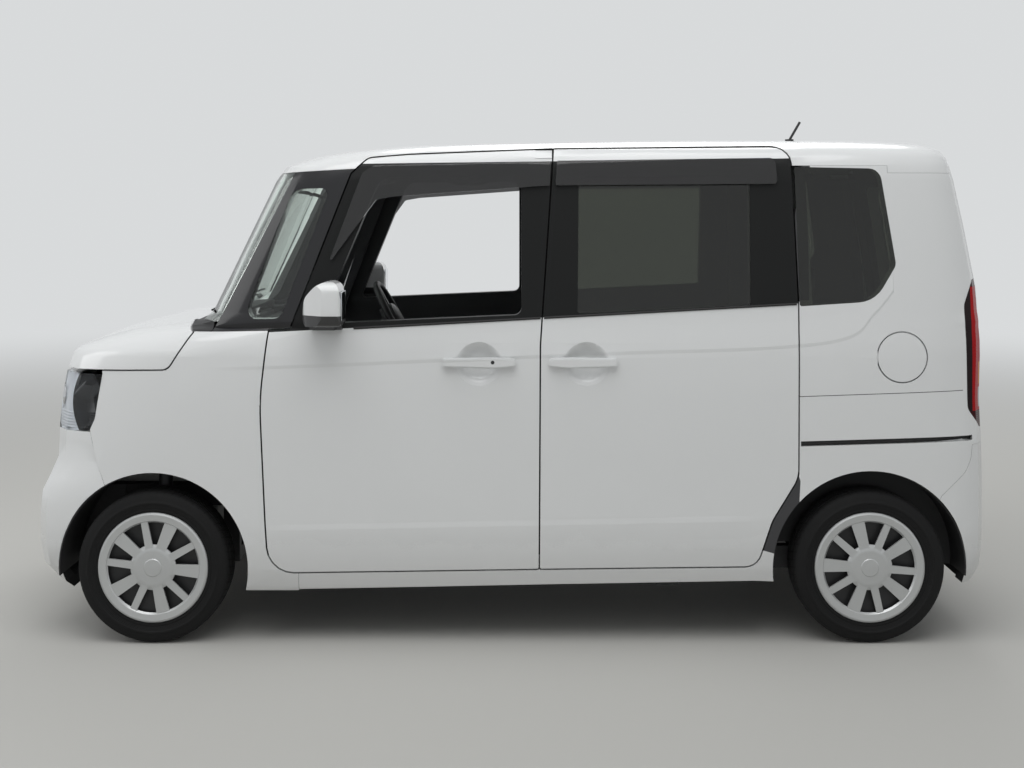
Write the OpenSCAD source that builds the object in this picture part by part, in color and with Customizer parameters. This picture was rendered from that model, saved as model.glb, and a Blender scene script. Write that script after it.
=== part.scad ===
// Boxy four-wheeled kei car: hinged front doors, sliding rear doors, hood, tailgate and fuel lid.
// X runs forward, Y to the left, Z up; the origin lies on the ground under the middle of the car.

/* [Overall size] */
// Length over the bumpers
overall_l = 3395; // [3375:5:3415]
// Width of the body without its mirrors
body_w = 1475; // [1455:5:1495]
// Height of the roof above the ground
overall_h = 1790; // [1770:5:1810]
// Tail to the rear axle
rear_overhang = 428; // [424:1:432]
// Front axle to the nose
front_overhang = 447; // [443:1:451]
// Height of the belt line at the middle post
belt_z = 1150; // [1145:1:1155]
// Height of the lower edge of the front doors
door_z = 255; // [250:1:260]
// Height of the lower edge of the sills
sill_z = 190; // [184:1:196]

/* [Panels] */
// Thickness of a door or of a wall
wall_t = 55; // [50:1:58]
// Inner frame behind the doors, measured inward
frame_t = 26; // [20:1:32]
// Depth from the skin to the inner frame
frame_depth = 60; // [60:0.5:64]
// Gap round every panel that opens
shut_gap = 5.5; // [5:0.5:6.5]
// Gap between two panels that are fixed
seam = 0.8; // [0.6:0.1:0.9]
// Clearance between seated pieces
seat = 0.3; // [0.2:0.1:0.5]
// Thickness of the window glass
glass_t = 5; // [4:0.5:6]
// Thickness of a plastic bumper skin
bumper_t = 42; // [34:1:48]
// Thickness of the hood
hood_t = 24; // [18:1:30]
// Thickness of the roof
roof_t = 40; // [30:1:46]

/* [Openings] */
// Front edge of the front door behind the front axle
door_back = 377; // [372:1:382]
// Length of the front door as a share of the wheelbase
front_door_share = 0.389; // [0.386:0.001:0.392]
// Rear edge of the sliding door ahead of the rear axle
slide_ahead = 249; // [244:1:254]
// Radius of the front wheel arch
front_arch_r = 335; // [330:1:340]
// Radius of the rear wheel arch
rear_arch_r = 342; // [338:1:346]
// Radius of the fuel lid
fuel_r = 88; // [80:1:94]

/* [Wheels] */
// Diameter of the tyre as it stands
tyre_d = 536; // [526:2:546]
// Width of the tyre
tyre_w = 154; // [148:1:160]
// Diameter of the wheel where the tyre sits
rim_d = 356; // [350:2:360]
// Diameter of the wheel cover
cover_d = 388; // [380:2:392]
// Distance between the middles of the left and right tyres
track = 1305; // [1299:1:1309]
// Radius of the wheel spindles
spindle_r = 15; // [12:0.5:18]
// Running clearance of a spindle in its hub
run_fit = 0.05; // [0.03:0.01:0.08]
// Turn of the front wheel covers
front_phase = 67; // [0:1:71]
// Turn of the rear wheel covers
rear_phase = 33; // [0:1:71]

/* [Steering] */
// Height of the lower ball joint
ball_z = 150; // [145:1:158]
// Height of the upper strut bearing
strut_z = 830; // [810:5:850]
// Lower ball joint, inward of the tyre middle
ball_in = 26; // [22:1:30]
// Upper strut bearing, inward of the tyre middle
strut_in = 130; // [124:1:136]
// Diameter of the steering wheel
steer_d = 366; // [350:2:380]
// Rake of the steering column from level
column_rake = 28; // [24:1:32]
// Middle of the driver's seat to the right of the car's middle
driver_y = 340; // [320:5:350]

/* [Hidden] */

$fn = 64;
nose = overall_l / 2;
tail = -overall_l / 2;
half_w = body_w / 2;
roof_z = overall_h;
xf = nose - front_overhang;
wheelbase = overall_l - front_overhang - rear_overhang;
xr = xf - wheelbase;
axle_z = tyre_d / 2;
door_x = xf - door_back;
b_x = door_x - front_door_share * wheelbase - 0.72;
slide_x = xr + slide_ahead;
steer_at = [xf - 740, -driver_y, 1040];
fuel_x = xr - 112;
fuel_z = 1008;
grip_z = 992;
far = 1000;

// Level curves of the body skin, from the sills up to the roof
// height, nose, tail, half width, nose squareness, tail squareness, used on the sides
function mid(f) = belt_z + 10 + f * (roof_z - 120 - belt_z);
BODY = [
  [150, nose - 110, tail + 70, half_w - 47, 10, 14, 1],
  [200, nose - 62, tail + 30, half_w - 21, 11, 16, 1],
  [260, nose - 14, tail + 8, half_w - 10, 12, 18, 1],
  [340, nose, tail, half_w - 4, 12, 18, 1],
  [445, nose, tail, half_w, 12, 18, 1],
  [520, nose - 8, tail, half_w, 12, 18, 0],
  [575, nose - 32, tail, half_w, 11, 18, 1],
  [640, nose - 56, tail + 2, half_w, 10, 18, 0],
  [705, nose - 58, tail + 3, half_w, 10, 18, 1],
  [760, nose - 57, tail + 10, half_w - 0.5, 9.5, 17, 0],
  [860, nose - 64, tail + 6, half_w - 1, 9, 16, 1],
  [945, nose - 80, tail + 3, half_w - 1.5, 9, 16, 0],
  [1007, nose - 96, tail + 2, half_w - 2.5, 8, 16, 1],
  [1030, nose - 106, tail + 2, half_w - 4, 7, 16, 0],
  [1060, nose - 188, tail + 2, half_w - 6.5, 6.2, 16, 1],
  [1085, nose - 278, tail + 2, half_w - 9, 5.8, 15, 0],
  [1099, nose - 368, tail + 2, half_w - 10.5, 5.8, 15, 0],
  [1108, nose - 453, tail + 3, half_w - 11.5, 6, 15, 1],
  [1116, nose - 518, tail + 3, half_w - 12.5, 7, 15, 0],
  [1128, xf - 131, tail + 3, half_w - 13.5, 9, 15, 1],
  [1160, xf - 164, tail + 4, half_w - 16.5, 9, 14, 1],
  [mid(0.173), xf - 207, tail + 9, half_w - 24, 9, 14, 1],
  [mid(0.365), xf - 255, tail + 24, half_w - 33, 9, 14, 0],
  [mid(0.558), xf - 302, tail + 44, half_w - 42.5, 9, 14, 1],
  [mid(0.75), xf - 350, tail + 64, half_w - 52.5, 9, 14, 0],
  [mid(0.904), xf - 388, tail + 79, half_w - 61, 9, 14, 1],
  [roof_z - 110, xf - 420, tail + 89, half_w - 69, 8, 13, 1],
  [roof_z - 75, xf - 512, tail + 97, half_w - 81, 7, 12, 1],
  [roof_z - 50, xf - 650, tail + 107, half_w - 104, 6, 10, 1],
  [roof_z - 32, xf - 815, tail + 132, half_w - 145, 5, 8, 1],
  [roof_z - 20, xf - 1190, tail + 165, half_w - 205, 4, 6, 1],
  [roof_z - 11, xf - 1500, tail + 247, half_w - 300, 3.4, 4, 1],
  [roof_z - 4, xf - 1750, tail + 365, half_w - 430, 2.8, 3, 1],
  [roof_z, xf - 1950, tail + 545, half_w - 590, 2.4, 2.4, 1]];
NOSE = [for (r = BODY) [r[0], r[1]]];
TAIL = [for (r = BODY) [r[0], r[2]]];
HALF = [for (r = BODY) [r[0], r[3]]];
NOSE_N = [for (r = BODY) [r[0], r[4]]];
TAIL_N = [for (r = BODY) [r[0], r[5]]];

// Stations round a level curve, crowded toward the middle of the flank
stations = 10;
crowding = 2.2;
function turn(i) = 90 + sign(i) * 90 * pow(abs(i) / stations, crowding);
function flank(i0, i1) = [for (i = [i0:i1]) turn(i)];
function bow(i) = concat([for (j = [i:-1:-stations]) -turn(j)], [for (j = [1 - stations:i]) turn(j)]);
function stern(i) = concat([for (j = [i:stations]) turn(j)], [for (j = [stations - 1:-1:i]) 360 - turn(j)]);
function rows(z0, z1, sides = 0) = concat([z0],
  [for (r = BODY) if (r[0] > z0 + 2 && r[0] < z1 - 2 && r[6] >= sides) r[0]], [z1]);

// Every second value of a list, with both ends
function thin(v) = concat([for (i = [0:2:len(v) - 2]) v[i]], [v[len(v) - 1]]);

// Point of the skin at a station and a height, moved inward
function skin(t, z, s) = let (
    n = cos(t) > 0 ? lookup(z, NOSE_N) : lookup(z, TAIL_N),
    a = (lookup(z, NOSE) - lookup(z, TAIL)) / 2 - s,
    b = lookup(z, HALF) - s)
  [(lookup(z, NOSE) + lookup(z, TAIL)) / 2 + sign(cos(t)) * a * pow(abs(cos(t)), 2 / n),
   sign(sin(t)) * b * pow(abs(sin(t)), 2 / n), z];

// Half width of the skin at a length and a height, moved inward
function side_y(x, z, s = 0) = let (
    m = (lookup(z, NOSE) + lookup(z, TAIL)) / 2,
    a = (lookup(z, NOSE) - lookup(z, TAIL)) / 2 - s,
    n = x > m ? lookup(z, NOSE_N) : lookup(z, TAIL_N))
  (lookup(z, HALF) - s) * pow(1 - pow(abs(x - m) / a, n), 1 / n);

// Outline corners turned into short arcs
function unit(v) = v / norm(v);
function flat(p) = [p[0], p[1]];
function bend(a, b) = let (d = b - a) d > 180 ? d - 360 : d < -180 ? d + 360 : d;
function corner(p, q, s, rad, k = 5) = let (
    u = unit(p - q),
    v = unit(s - q),
    h = acos(max(-1, min(1, u * v))) / 2,
    c = q + unit(u + v) * rad / sin(h),
    p0 = q + u * rad / tan(h) - c,
    p1 = q + v * rad / tan(h) - c,
    a0 = atan2(p0[1], p0[0]),
    da = bend(a0, atan2(p1[1], p1[0])))
  [for (i = [0:k]) c + rad * [cos(a0 + da * i / k), sin(a0 + da * i / k)]];
function fillet(t) = let (n = len(t))
  [for (i = [0:n - 1]) each t[i][2] > 0
    ? corner(flat(t[(i + n - 1) % n]), flat(t[i]), flat(t[(i + 1) % n]), t[i][2])
    : [flat(t[i])]];

// Curved panel between two depths under the skin
module slab(cols, levels, s0, s1, drop = 0) {
  m = len(cols);
  n = len(levels);
  pts = concat([for (z = levels, t = cols) skin(t, z, s0)],
    [for (z = levels, t = cols) skin(t, z, s1) - [0, 0, drop]]);
  in = m * n;
  polyhedron(pts, concat(
    [for (j = [0:n - 2], i = [0:m - 2]) let (a = j * m + i, b = a + m) each
      [[a, b, b + 1], [a, b + 1, a + 1], [in + a, in + b + 1, in + b], [in + a, in + a + 1, in + b + 1]]],
    [for (i = [0:m - 2]) let (a = i, b = (n - 1) * m + i) each
      [[a, a + 1, in + a + 1], [a, in + a + 1, in + a], [b + 1, b, in + b], [b + 1, in + b, in + b + 1]]],
    [for (j = [0:n - 2]) let (a = j * m, b = a + m, c = a + m - 1, d = b + m - 1) each
      [[b, a, in + a], [b, in + a, in + b], [c, d, in + d], [c, in + d, in + c]]]), convexity = 8);
}

// Closed solid through whole level curves
module dome(levels, s = 0, drop = 0) {
  cols = concat([for (i = [-stations:stations]) turn(i)], [for (i = [stations - 1:-1:1 - stations]) 360 - turn(i)]);
  m = len(cols);
  n = len(levels);
  polyhedron([for (z = levels, t = cols) skin(t, z, s) - [0, 0, drop]], concat(
    [for (j = [0:n - 2], i = [0:m - 1]) let (a = j * m, k = (i + 1) % m) each
      [[a + i, a + m + i, a + m + k], [a + i, a + m + k, a + k]]],
    [for (i = [1:m - 2]) [0, i, i + 1]],
    [for (i = [1:m - 2]) let (a = (n - 1) * m) [a, a + i + 1, a + i]]), convexity = 8);
}

// Flat outline of the side view carried across the car
module across(y0, y1) {
  translate([0, y1, 0]) rotate([90, 0, 0]) linear_extrude(y1 - y0) children();
}

// Flat outline of the end view carried along the car
module along(x0, x1) {
  translate([x0, 0, 0]) rotate([90, 0, 90]) linear_extrude(x1 - x0) children();
}

// Left piece and its twin on the right
module both() {
  children();
  mirror([0, 1, 0]) children();
}

// Outlines in the side view: length, height, corner radius
FRONT_DOOR = [
  [b_x, door_z + 8, 8],
  [door_x - 30, door_z - 6, 95],
  [door_x - 20, door_z + 160, 250],
  [door_x, door_z + 600, 900],
  [door_x - 28, belt_z - 46, 6],
  [door_x - 104, belt_z - 42, 10],
  [door_x - 313, roof_z - 135, 10],
  [door_x - 372, roof_z - 78, 50],
  [door_x - 520, roof_z - 66, 200],
  [b_x - 52, roof_z - 46, 6],
  [b_x - 4, belt_z - 100, 500]];
SLIDING_DOOR = [
  [b_x - 4, belt_z - 100, 500],
  [b_x - 52, roof_z - 46, 6],
  [slide_x + 18, roof_z - 36, 65],
  [slide_x, belt_z + 45, 600],
  [slide_x + 3, door_z + 330, 110],
  [slide_x + 95, door_z + 180, 150],
  [slide_x + 148, door_z + 17, 60],
  [b_x, door_z + 8, 8]];
FRONT_WINDOW = [
  [door_x - 205, belt_z - 25, 15],
  [door_x - 418, roof_z - 150, 60],
  [b_x + 63, roof_z - 145, 35],
  [b_x + 63, belt_z + 6, 25]];
SLIDING_WINDOW = [
  [b_x - 135, belt_z + 10, 12],
  [b_x - 141, roof_z - 150, 25],
  [slide_x + 166, roof_z - 145, 25],
  [slide_x + 169, belt_z + 40, 12]];
REAR_QUARTER = [
  [slide_x - 4, belt_z + 36, 8],
  [slide_x + 6, roof_z - 112, 8],
  [slide_x - 297, roof_z - 118, 45],
  [slide_x - 347, belt_z + 180, 40],
  [slide_x - 269, belt_z + 53, 110]];
FRONT_QUARTER = [
  [xf - 322, belt_z + 20, 40],
  [xf - 480, roof_z - 190, 60],
  [xf - 618, roof_z - 186, 25],
  [xf - 445, belt_z - 8, 40],
  [xf - 345, belt_z - 10, 30]];
PILLAR = [
  [xf - 200, belt_z - 54, 3],
  [xf - 486, roof_z - 130, 3],
  [door_x - 420, roof_z - 114, 3],
  [door_x - 200, belt_z - 46, 3]];
HOOD = [
  [nose + 100, 953, 0],
  [xf - 52, 963, 40],
  [xf - 132, 1092, 3],
  [xf - 85, 1125, 0],
  [nose + 100, 1125, 0]];
FENDER = [
  [door_x - 135, sill_z - 5, 0],
  [door_x - 135, belt_z - 48, 0],
  [xf - 200, belt_z - 56, 0],
  [xf - 131, 1094, 0],
  [xf - 48, 962, 0],
  [xf + 187, 958, 0],
  [xf + 186, 943, 0],
  [xf + 196, 880, 0],
  [xf + 210, 788, 60],
  [xf + 228, 750, 0],
  [xf + 214, 690, 60],
  [xf + 196, 629, 60],
  [xf + 120, 430, 0],
  [xf + 120, sill_z - 5, 0]];
HEADLAMP = [
  [nose + 50, 948, 0],
  [xf + 186, 944, 3],
  [xf + 196, 880, 200],
  [xf + 210, 788, 60],
  [xf + 236, 746, 12],
  [nose + 50, 738, 0]];
TAIL_LAMP = [
  [tail - 50, belt_z + 150, 0],
  [xr - 380, belt_z + 124, 8],
  [xr - 342, belt_z + 40, 40],
  [xr - 350, belt_z - 326, 40],
  [xr - 404, belt_z - 395, 8],
  [tail - 50, belt_z - 420, 0]];
REAR_BUMPER = [
  [tail - 50, 704, 0],
  [xr - 366, 698, 3],
  [xr - 361, 650, 60],
  [xr - 337, 601, 60],
  [xr - 250, 520, 0],
  [xr - 150, 300, 0],
  [xr - 150, 100, 0],
  [tail - 50, 100, 0]];

module shape(table, grow = 0) {
  if (grow == 0) polygon(fillet(table));
  else offset(delta = grow) polygon(fillet(table));
}

// Round cuts of the wheel arches
module arches(grow = 0) {
  translate([xf, 0, axle_z]) rotate([90, 0, 0]) cylinder(r = front_arch_r + grow, h = 4 * far, center = true, $fn = 96);
  translate([xr, 0, axle_z]) rotate([90, 0, 0]) cylinder(r = rear_arch_r + grow, h = 4 * far, center = true, $fn = 96);
}

// Body shell

floor_top = 300;
floor_t = 26;
rail_y = track / 2 - 277;
rail_z = 420;
buffer_top = 1003.4;
floor_half = side_y(xf - 420, 262, frame_depth + frame_t) - 3;
module floor_pan() color("dimgray") {
  // Main floor with the step under the rear seat, toe board, rear floor
  across(-floor_half, floor_half) polygon([
    [xf - 400, floor_top], [xf - 1880, floor_top], [xf - 1960, 520], [xr + 400, 520], [xr + 400, 494],
    [xf - 1978, 494], [xf - 1898, floor_top - floor_t], [xf - 400, floor_top - floor_t]]);
  across(240 - track / 2, track / 2 - 240) polygon([
    [xf - 205, 1096 - seat], [xf - 235, 1096 - seat], [xf - 265, 560], [xf - 440, floor_top - 1],
    [xf - 470, floor_top - 1], [xf - 470, floor_top - floor_t + 1], [xf - 424, floor_top - floor_t + 1],
    [xf - 240, 545]]);
  across(217 - half_w, half_w - 217) polygon([[xr + 420, 519], [tail + 75, 519], [tail + 75, 495], [xr + 420, 495]]);
  // Cross members that reach the sills
  for (x = [xf - 520, b_x, xf - 1820])
    translate([x - 35, -side_y(x + 35, 236, frame_depth + frame_t) + 7 * seat, 236])
      cube([70, 2 * side_y(x + 35, 236, frame_depth + frame_t) - 14 * seat, 40]);
  // Front rails and the upper cross member with its hood buffers
  for (s = [-1, 1]) {
    translate([xf - 340, s * rail_y - 30, rail_z]) cube([nose - bumper_t - 17.2 - xf + 340, 60, 80]);
    translate([nose - 180, s * rail_y - 20, rail_z + 60]) cube([40, 40, 900 - rail_z - 60]);
    translate([nose - 160, s * rail_y, 880]) cylinder(r = 12, h = buffer_top - 880);
  }
  translate([nose - 180, -rail_y - 20, 870]) cube([40, 2 * rail_y + 40, 30]);
  // Jacking pads
  for (x = [xf - 520, xf - 1820], s = [-1, 1])
    translate([x - 40, s * (floor_half - 60) - 30, sill_z - 12]) cube([80, 60, 60]);
}

liner_y = track / 2 - 227;
rear_liner_y = track / 2 - 112;
module wheel_liners() color("black") both() {
  difference() {
    translate([xf, liner_y, axle_z]) rotate([-90, 0, 0]) cylinder(r = front_arch_r - seat, h = side_y(xf, 600) - liner_y - 22);
    translate([xf, liner_y - 25, axle_z]) rotate([-90, 0, 0]) cylinder(r = front_arch_r - 5, h = 500);
    translate([xf - far, 300, axle_z - far - 30]) cube([2 * far, 600, far]);
    translate([xf - 70, liner_y - 25, axle_z]) cube([140, track / 2 - strut_in + 85 - liner_y, 600]);
  }
  difference() {
    translate([xr, rear_liner_y, axle_z]) rotate([-90, 0, 0])
      cylinder(r = rear_arch_r - seat, h = side_y(xr, 600) - rear_liner_y - 22);
    translate([xr, rear_liner_y + 6, axle_z]) rotate([-90, 0, 0]) cylinder(r = rear_arch_r - 5, h = 500);
    translate([xr - far, 300, axle_z - far - 30]) cube([2 * far, 600, far]);
    translate([xr - 45, arm_y, axle_z - 70]) cube([420, 60, 120]);
  }
}

module engine_block() color("gray")
  translate([xf - 150, 30 + seat - rail_y, 255]) cube([380, 2 * (rail_y - 30 - seat), 520]);

module dashboard() color("dimgray") {
  difference() {
    across(177 - half_w, half_w - 177) polygon(fillet([
      [xf - 236.5, 1075, 0], [xf - 254.7, 750, 0], [xf - 330, 720, 20], [xf - 470, 800, 40],
      [xf - 500, 980, 50], [xf - 440, 1066, 60]]));
    translate(steer_at) rotate([0, 90 + column_rake, 0]) cylinder(r = 20.5, h = 800, center = true);
  }
}

// Outer wall pieces of one side, then the frame behind the doors
module wall_outline() {
  difference() {
    union() {
      polygon([[door_x - 136, sill_z], [b_x, sill_z + 18], [xr + 330, sill_z + 33], [xr, sill_z + 33],
        [xr + 200, 700], [slide_x - 40, door_z + 40], [b_x, door_z + 40], [door_x - 136, door_z + 40]]);
      polygon([[slide_x + 200, sill_z + 33], [slide_x - 20, roof_z - 107 - seam], [xr - 75, roof_z - 107 - seam],
        [xr - 75, roof_z - 133 - seam], [tail - 50, roof_z - 133 - seam], [tail - 50, sill_z]]);
    }
    shape(FRONT_DOOR, shut_gap / 2);
    shape(SLIDING_DOOR, shut_gap / 2);
    shape(REAR_QUARTER);
    shape(TAIL_LAMP, seam);
    shape(REAR_BUMPER, seam);
  }
}

module frame_outline() {
  difference() {
    polygon([[door_x - 60, sill_z + 20], [door_x - 60, belt_z - 80], [door_x - 110, belt_z - 56], [door_x - 300, roof_z - 120],
      [door_x - 380, roof_z - 60], [slide_x - 40, roof_z - 60], [slide_x - 80, 700], [xr + 330, 450],
      [xr + 330, sill_z + 40]]);
    difference() {
      offset(delta = -38) shape(FRONT_DOOR);
      polygon([[door_x + 50, belt_z - 90], [door_x - 60, belt_z - 90], [door_x - 300, roof_z - 110], [door_x, roof_z]]);
    }
    offset(delta = -38) shape(SLIDING_DOOR);
    offset(delta = seat) roof_outline();
  }
}

// Ring of the rear opening
module tailgate_ring(out, in) {
  difference() {
    tailgate_outline(out);
    tailgate_outline(in);
  }
}
module wall() {
  difference() {
    union() {
      intersection() {
        slab(flank(-5, 7), rows(sill_z - 30, 320, 1), 0, frame_depth + 2);
        across(300, 900) intersection() {
          wall_outline();
          translate([slide_x, 0]) square([2 * far, 320]);
        }
      }
      intersection() {
        slab(flank(0, 9), rows(sill_z - 30, roof_z - 100, 1), 0, frame_depth + 2);
        across(300, 900) intersection() {
          wall_outline();
          translate([tail - 60, 0]) square([slide_x + 200 - tail, roof_z]);
        }
      }
      intersection() {
        slab(thin(flank(-6, 5)), thin(rows(sill_z - 10, roof_z - 50, 1)), frame_depth, frame_depth + frame_t);
        across(300, 900) frame_outline();
      }
    }
    arches();
    along(tail - 100, tail + 200) tailgate_outline(shut_gap / 2);
    // Groove of the sliding door's rail
    intersection() {
      slab(flank(0, 9), rows(690, 740, 1), -2, 16);
      across(300, 900) polygon([[slide_x - 4, 696], [slide_x - 4, 714], [xr - 366, 732], [xr - 366, 714]]);
    }
  }
}

module body_sides() color("white") {
  difference() {
    wall();
    // Seat and pocket of the fuel lid
    difference() {
      translate([fuel_x, side_y(fuel_x - fuel_r, fuel_z) - 18, fuel_z]) rotate([-90, 0, 0])
        cylinder(r = fuel_r + 3, h = 100);
      translate([fuel_x - 50, 0, fuel_z - 8]) cube([16, side_y(fuel_x - 50, fuel_z, 9.1), 16]);
    }
    difference() {
      translate([fuel_x, side_y(fuel_x, fuel_z) - 46, fuel_z]) rotate([-90, 0, 0]) cylinder(r = fuel_r - 12, h = 100);
      translate([fuel_x - 50, 0, fuel_z - 8]) cube([16, side_y(fuel_x - 50, fuel_z, 9.1), 16]);
    }
  }
  translate([fuel_x + fuel_r + 0.5, side_y(fuel_x + fuel_r, fuel_z) - 1, fuel_z - 22]) cylinder(r = 2, h = 44, $fn = 32);
  mirror([0, 1, 0]) wall();
  // Flange behind the tailgate
  intersection() {
    slab(stern(7), thin(rows(395, roof_z - 136, 1)), frame_depth + 1, frame_depth + frame_t);
    along(tail - 100, tail + 300) tailgate_ring(10, -40);
  }
}

// Rubber stops of the doors and the tailgate, on the frame behind them
module door_stops() color("black") {
  both() for (p = [[door_x - 48, 700], [b_x + 22, 560], [b_x + 22, 860]])
    translate([p[0], side_y(p[0], p[1], frame_depth - seat), p[1]]) rotate([90, 0, 0])
      translate([0, 0, -4.4]) cylinder(r = 9, h = 4.4, $fn = 32);
  translate([tail + wall_t + seat, 0, 440]) rotate([0, 90, 0])
    cylinder(r = 9, h = frame_depth + 1 - wall_t - 2 * seat, $fn = 32);
}

module front_pillars() color("black") both() {
  difference() {
    union() {
      intersection() {
        slab(flank(-9, -3), rows(belt_z - 60, roof_z - 105, 1), 0, frame_depth);
        across(200, 900) difference() {
          shape(PILLAR);
          shape(FRONT_DOOR, shut_gap / 2);
        }
      }
      intersection() {
        slab(flank(-9, -5), rows(belt_z - 60, roof_z - 105, 1), glass_t + seat, frame_depth);
        across(200, 900) polygon([[xf - 184, belt_z - 20], [xf - 458, roof_z - 136], [xf - 520, roof_z - 136],
          [xf - 230, belt_z - 20]]);
      }
    }
    across(200, 900) shape(FRONT_QUARTER);
  }
}

module front_fenders() color("white") both() {
  difference() {
    intersection() {
      slab(flank(-9, 0), rows(sill_z - 10, belt_z - 25, 1), 0, 45);
      across(300, 900) difference() {
        shape(FENDER);
        shape(FRONT_DOOR, shut_gap / 2);
        shape(HOOD, shut_gap / 2);
      }
    }
    arches();
  }
  // Hinge pin of the front door, on a lug in the gap
  translate([door_x - 2.6, half_w, door_z + 585]) {
    translate([0, -1.5, 0]) cylinder(r = 2, h = 30, $fn = 32);
    translate([0, -3.5, 0]) cube([9, 3, 30]);
  }
}

ROOF_EDGE = [
  [xf + 100, roof_z - 160 + seam, 0],
  [door_x - 420, roof_z - 114 + seam, 0],
  [slide_x + 60, roof_z - 114 + seam, 0],
  [slide_x + 12, roof_z - 107, 0],
  [xr - 76, roof_z - 107, 0],
  [xr - 76, roof_z - 133, 0],
  [tail - 50, roof_z - 133, 0],
  [tail - 50, roof_z + 50, 0],
  [xf + 100, roof_z + 50, 0]];
module roof_outline() {
  difference() {
    shape(ROOF_EDGE);
    shape(FRONT_DOOR, shut_gap / 2);
    shape(SLIDING_DOOR, shut_gap / 2);
  }
}
gate_axis = [tail + 96, roof_z - 86];
module roof() color("white") {
  // Hinge pins of the tailgate
  for (y = [-420, 420]) {
    translate([gate_axis[0], y - 20, gate_axis[1]]) rotate([-90, 0, 0]) cylinder(r = 2, h = 40, $fn = 32);
    translate([gate_axis[0], y - 20, gate_axis[1]]) cube([12, 40, 14]);
  }
  difference() {
    dome(rows(roof_z - 150, roof_z));
    dome(rows(roof_z - 150, roof_z), frame_depth - seat, roof_t);
    across(-far, far) difference() {
      translate([-2 * far, 0]) square([4 * far, 2 * far]);
      roof_outline();
    }
    along(tail - 100, tail + 300) tailgate_outline(shut_gap / 2);
  }
}

hood_axis = [xf - 93.5, 1118.5];
module cowl() color("black") {
  intersection() {
    slab(bow(-5), rows(1050, 1126), 0, 130);
    across(57 - half_w, half_w - 57) difference() {
      polygon([[xf - 140, 1096], [xf - 80, 1096], [xf - 80, 1140], [xf - 139, 1140], [xf - 200, 1127], [xf - 200, 1096]]);
      shape(HOOD, shut_gap / 2);
    }
  }
  // Hinge pins of the hood
  for (y = [-460, 460]) translate([hood_axis[0], y - 20, hood_axis[1]]) {
    rotate([-90, 0, 0]) cylinder(r = 2, h = 40, $fn = 32);
    translate([-14, 0, -1.5]) cube([14, 40, 2.5]);
  }
}

module windscreen() color("lightcyan")
  intersection() {
    slab(bow(-4), rows(1127, roof_z - 100, 1), 0, glass_t);
    across(-far, far) difference() {
      polygon([[xf + 10, 1128], [xf - 215, 1128], [xf - 215, belt_z - 24], [xf - 485, roof_z - 130], [xf - 485, roof_z],
        [xf + 10, roof_z]]);
      shape(PILLAR, seam);
      shape(ROOF_EDGE, seam);
    }
  }

module front_quarter_glass() color("lightcyan") both()
  intersection() {
    slab(flank(-9, -3), rows(belt_z - 30, roof_z - 150, 1), 2, 2 + glass_t);
    across(200, 900) shape(FRONT_QUARTER, -seat);
  }

module rear_quarter_glass() color("dimgray") both()
  intersection() {
    slab(flank(0, 8), rows(belt_z + 10, roof_z - 100, 1), 1, 1 + glass_t);
    across(200, 900) shape(REAR_QUARTER, -seat);
  }

module front_bumper() color("white")
  difference() {
    intersection() {
      slab(bow(-5), rows(165, 742), 0, bumper_t);
      across(-far, far) difference() {
        polygon([[nose + 50, 150], [nose + 50, 760], [xf + 100, 760], [xf + 100, 150]]);
        shape(FENDER, seam);
        shape(HEADLAMP, seam);
      }
    }
    arches();
    along(xf, nose + 100) polygon(fillet([
      [307 - half_w, 300, 30], [half_w - 307, 300, 30], [half_w - 337, 430, 30], [337 - half_w, 430, 30]]));
  }

module grille() color("dimgray")
  difference() {
    intersection() {
      slab(bow(-7), rows(741, 947), 0, 34);
      along(xf, nose + 100) polygon([[309 - half_w, 745], [half_w - 309, 745], [half_w - 297, 947], [297 - half_w, 947]]);
    }
    for (i = [0:3]) along(nose - 85, nose + 100) translate([337 - half_w, 770 + 42 * i]) square([2 * half_w - 674, 20]);
  }

module headlamps() color("lightgray") both()
  intersection() {
    slab(flank(-10, -4), rows(735, 950), 0, 60);
    across(0, 900) difference() {
      shape(HEADLAMP);
      shape(FENDER, seam);
      shape(HOOD, shut_gap / 2);
    }
    along(xf, nose + 100) polygon([[half_w - 311.6 + seam, 700], [far, 700], [far, 1000], [half_w - 293.8 + seam, 1000]]);
  }

module rear_bumper() color("white")
  difference() {
    intersection() {
      slab(stern(5), rows(205, 704, 1), 0, bumper_t);
      across(-far, far) shape(REAR_BUMPER);
    }
    arches();
    along(tail - 100, tail + 300) tailgate_outline(shut_gap / 2);
  }

module tail_lamps() color("darkred") both()
  intersection() {
    slab(flank(5, 10), rows(belt_z - 430, belt_z + 160, 1), 0, 50);
    across(0, 900) shape(TAIL_LAMP);
    along(tail - 100, tail + 300) difference() {
      translate([0, 300]) square([900, 1200]);
      tailgate_outline(shut_gap / 2);
    }
  }

// Doors

module sliding_doors() color("white") both()
  difference() {
    intersection() {
      slab(flank(-2, 6), rows(door_z - 20, roof_z - 30, 1), 0, frame_depth - seat);
      across(300, 900) difference() {
        shape(SLIDING_DOOR, -shut_gap / 2);
        shape(SLIDING_WINDOW);
      }
    }
    handle_dish(b_x - 166);
  }

module sliding_door_glass() color("dimgray") both()
  intersection() {
    slab(flank(-1, 5), rows(belt_z - 20, roof_z - 130, 1), 4, 4 + glass_t);
    across(300, 900) shape(SLIDING_WINDOW, -seat);
  }

// Dished hollow behind a handle, with a soft lip
module handle_dish(x)
  translate([x, half_w - 3, grip_z]) rotate([-90, 0, 0]) rotate_extrude() polygon([
    [0, -30], [34, -28], [52, -19], [63, -9], [71, -3], [84, 0.2], [84, 12], [0, 12]]);

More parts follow.
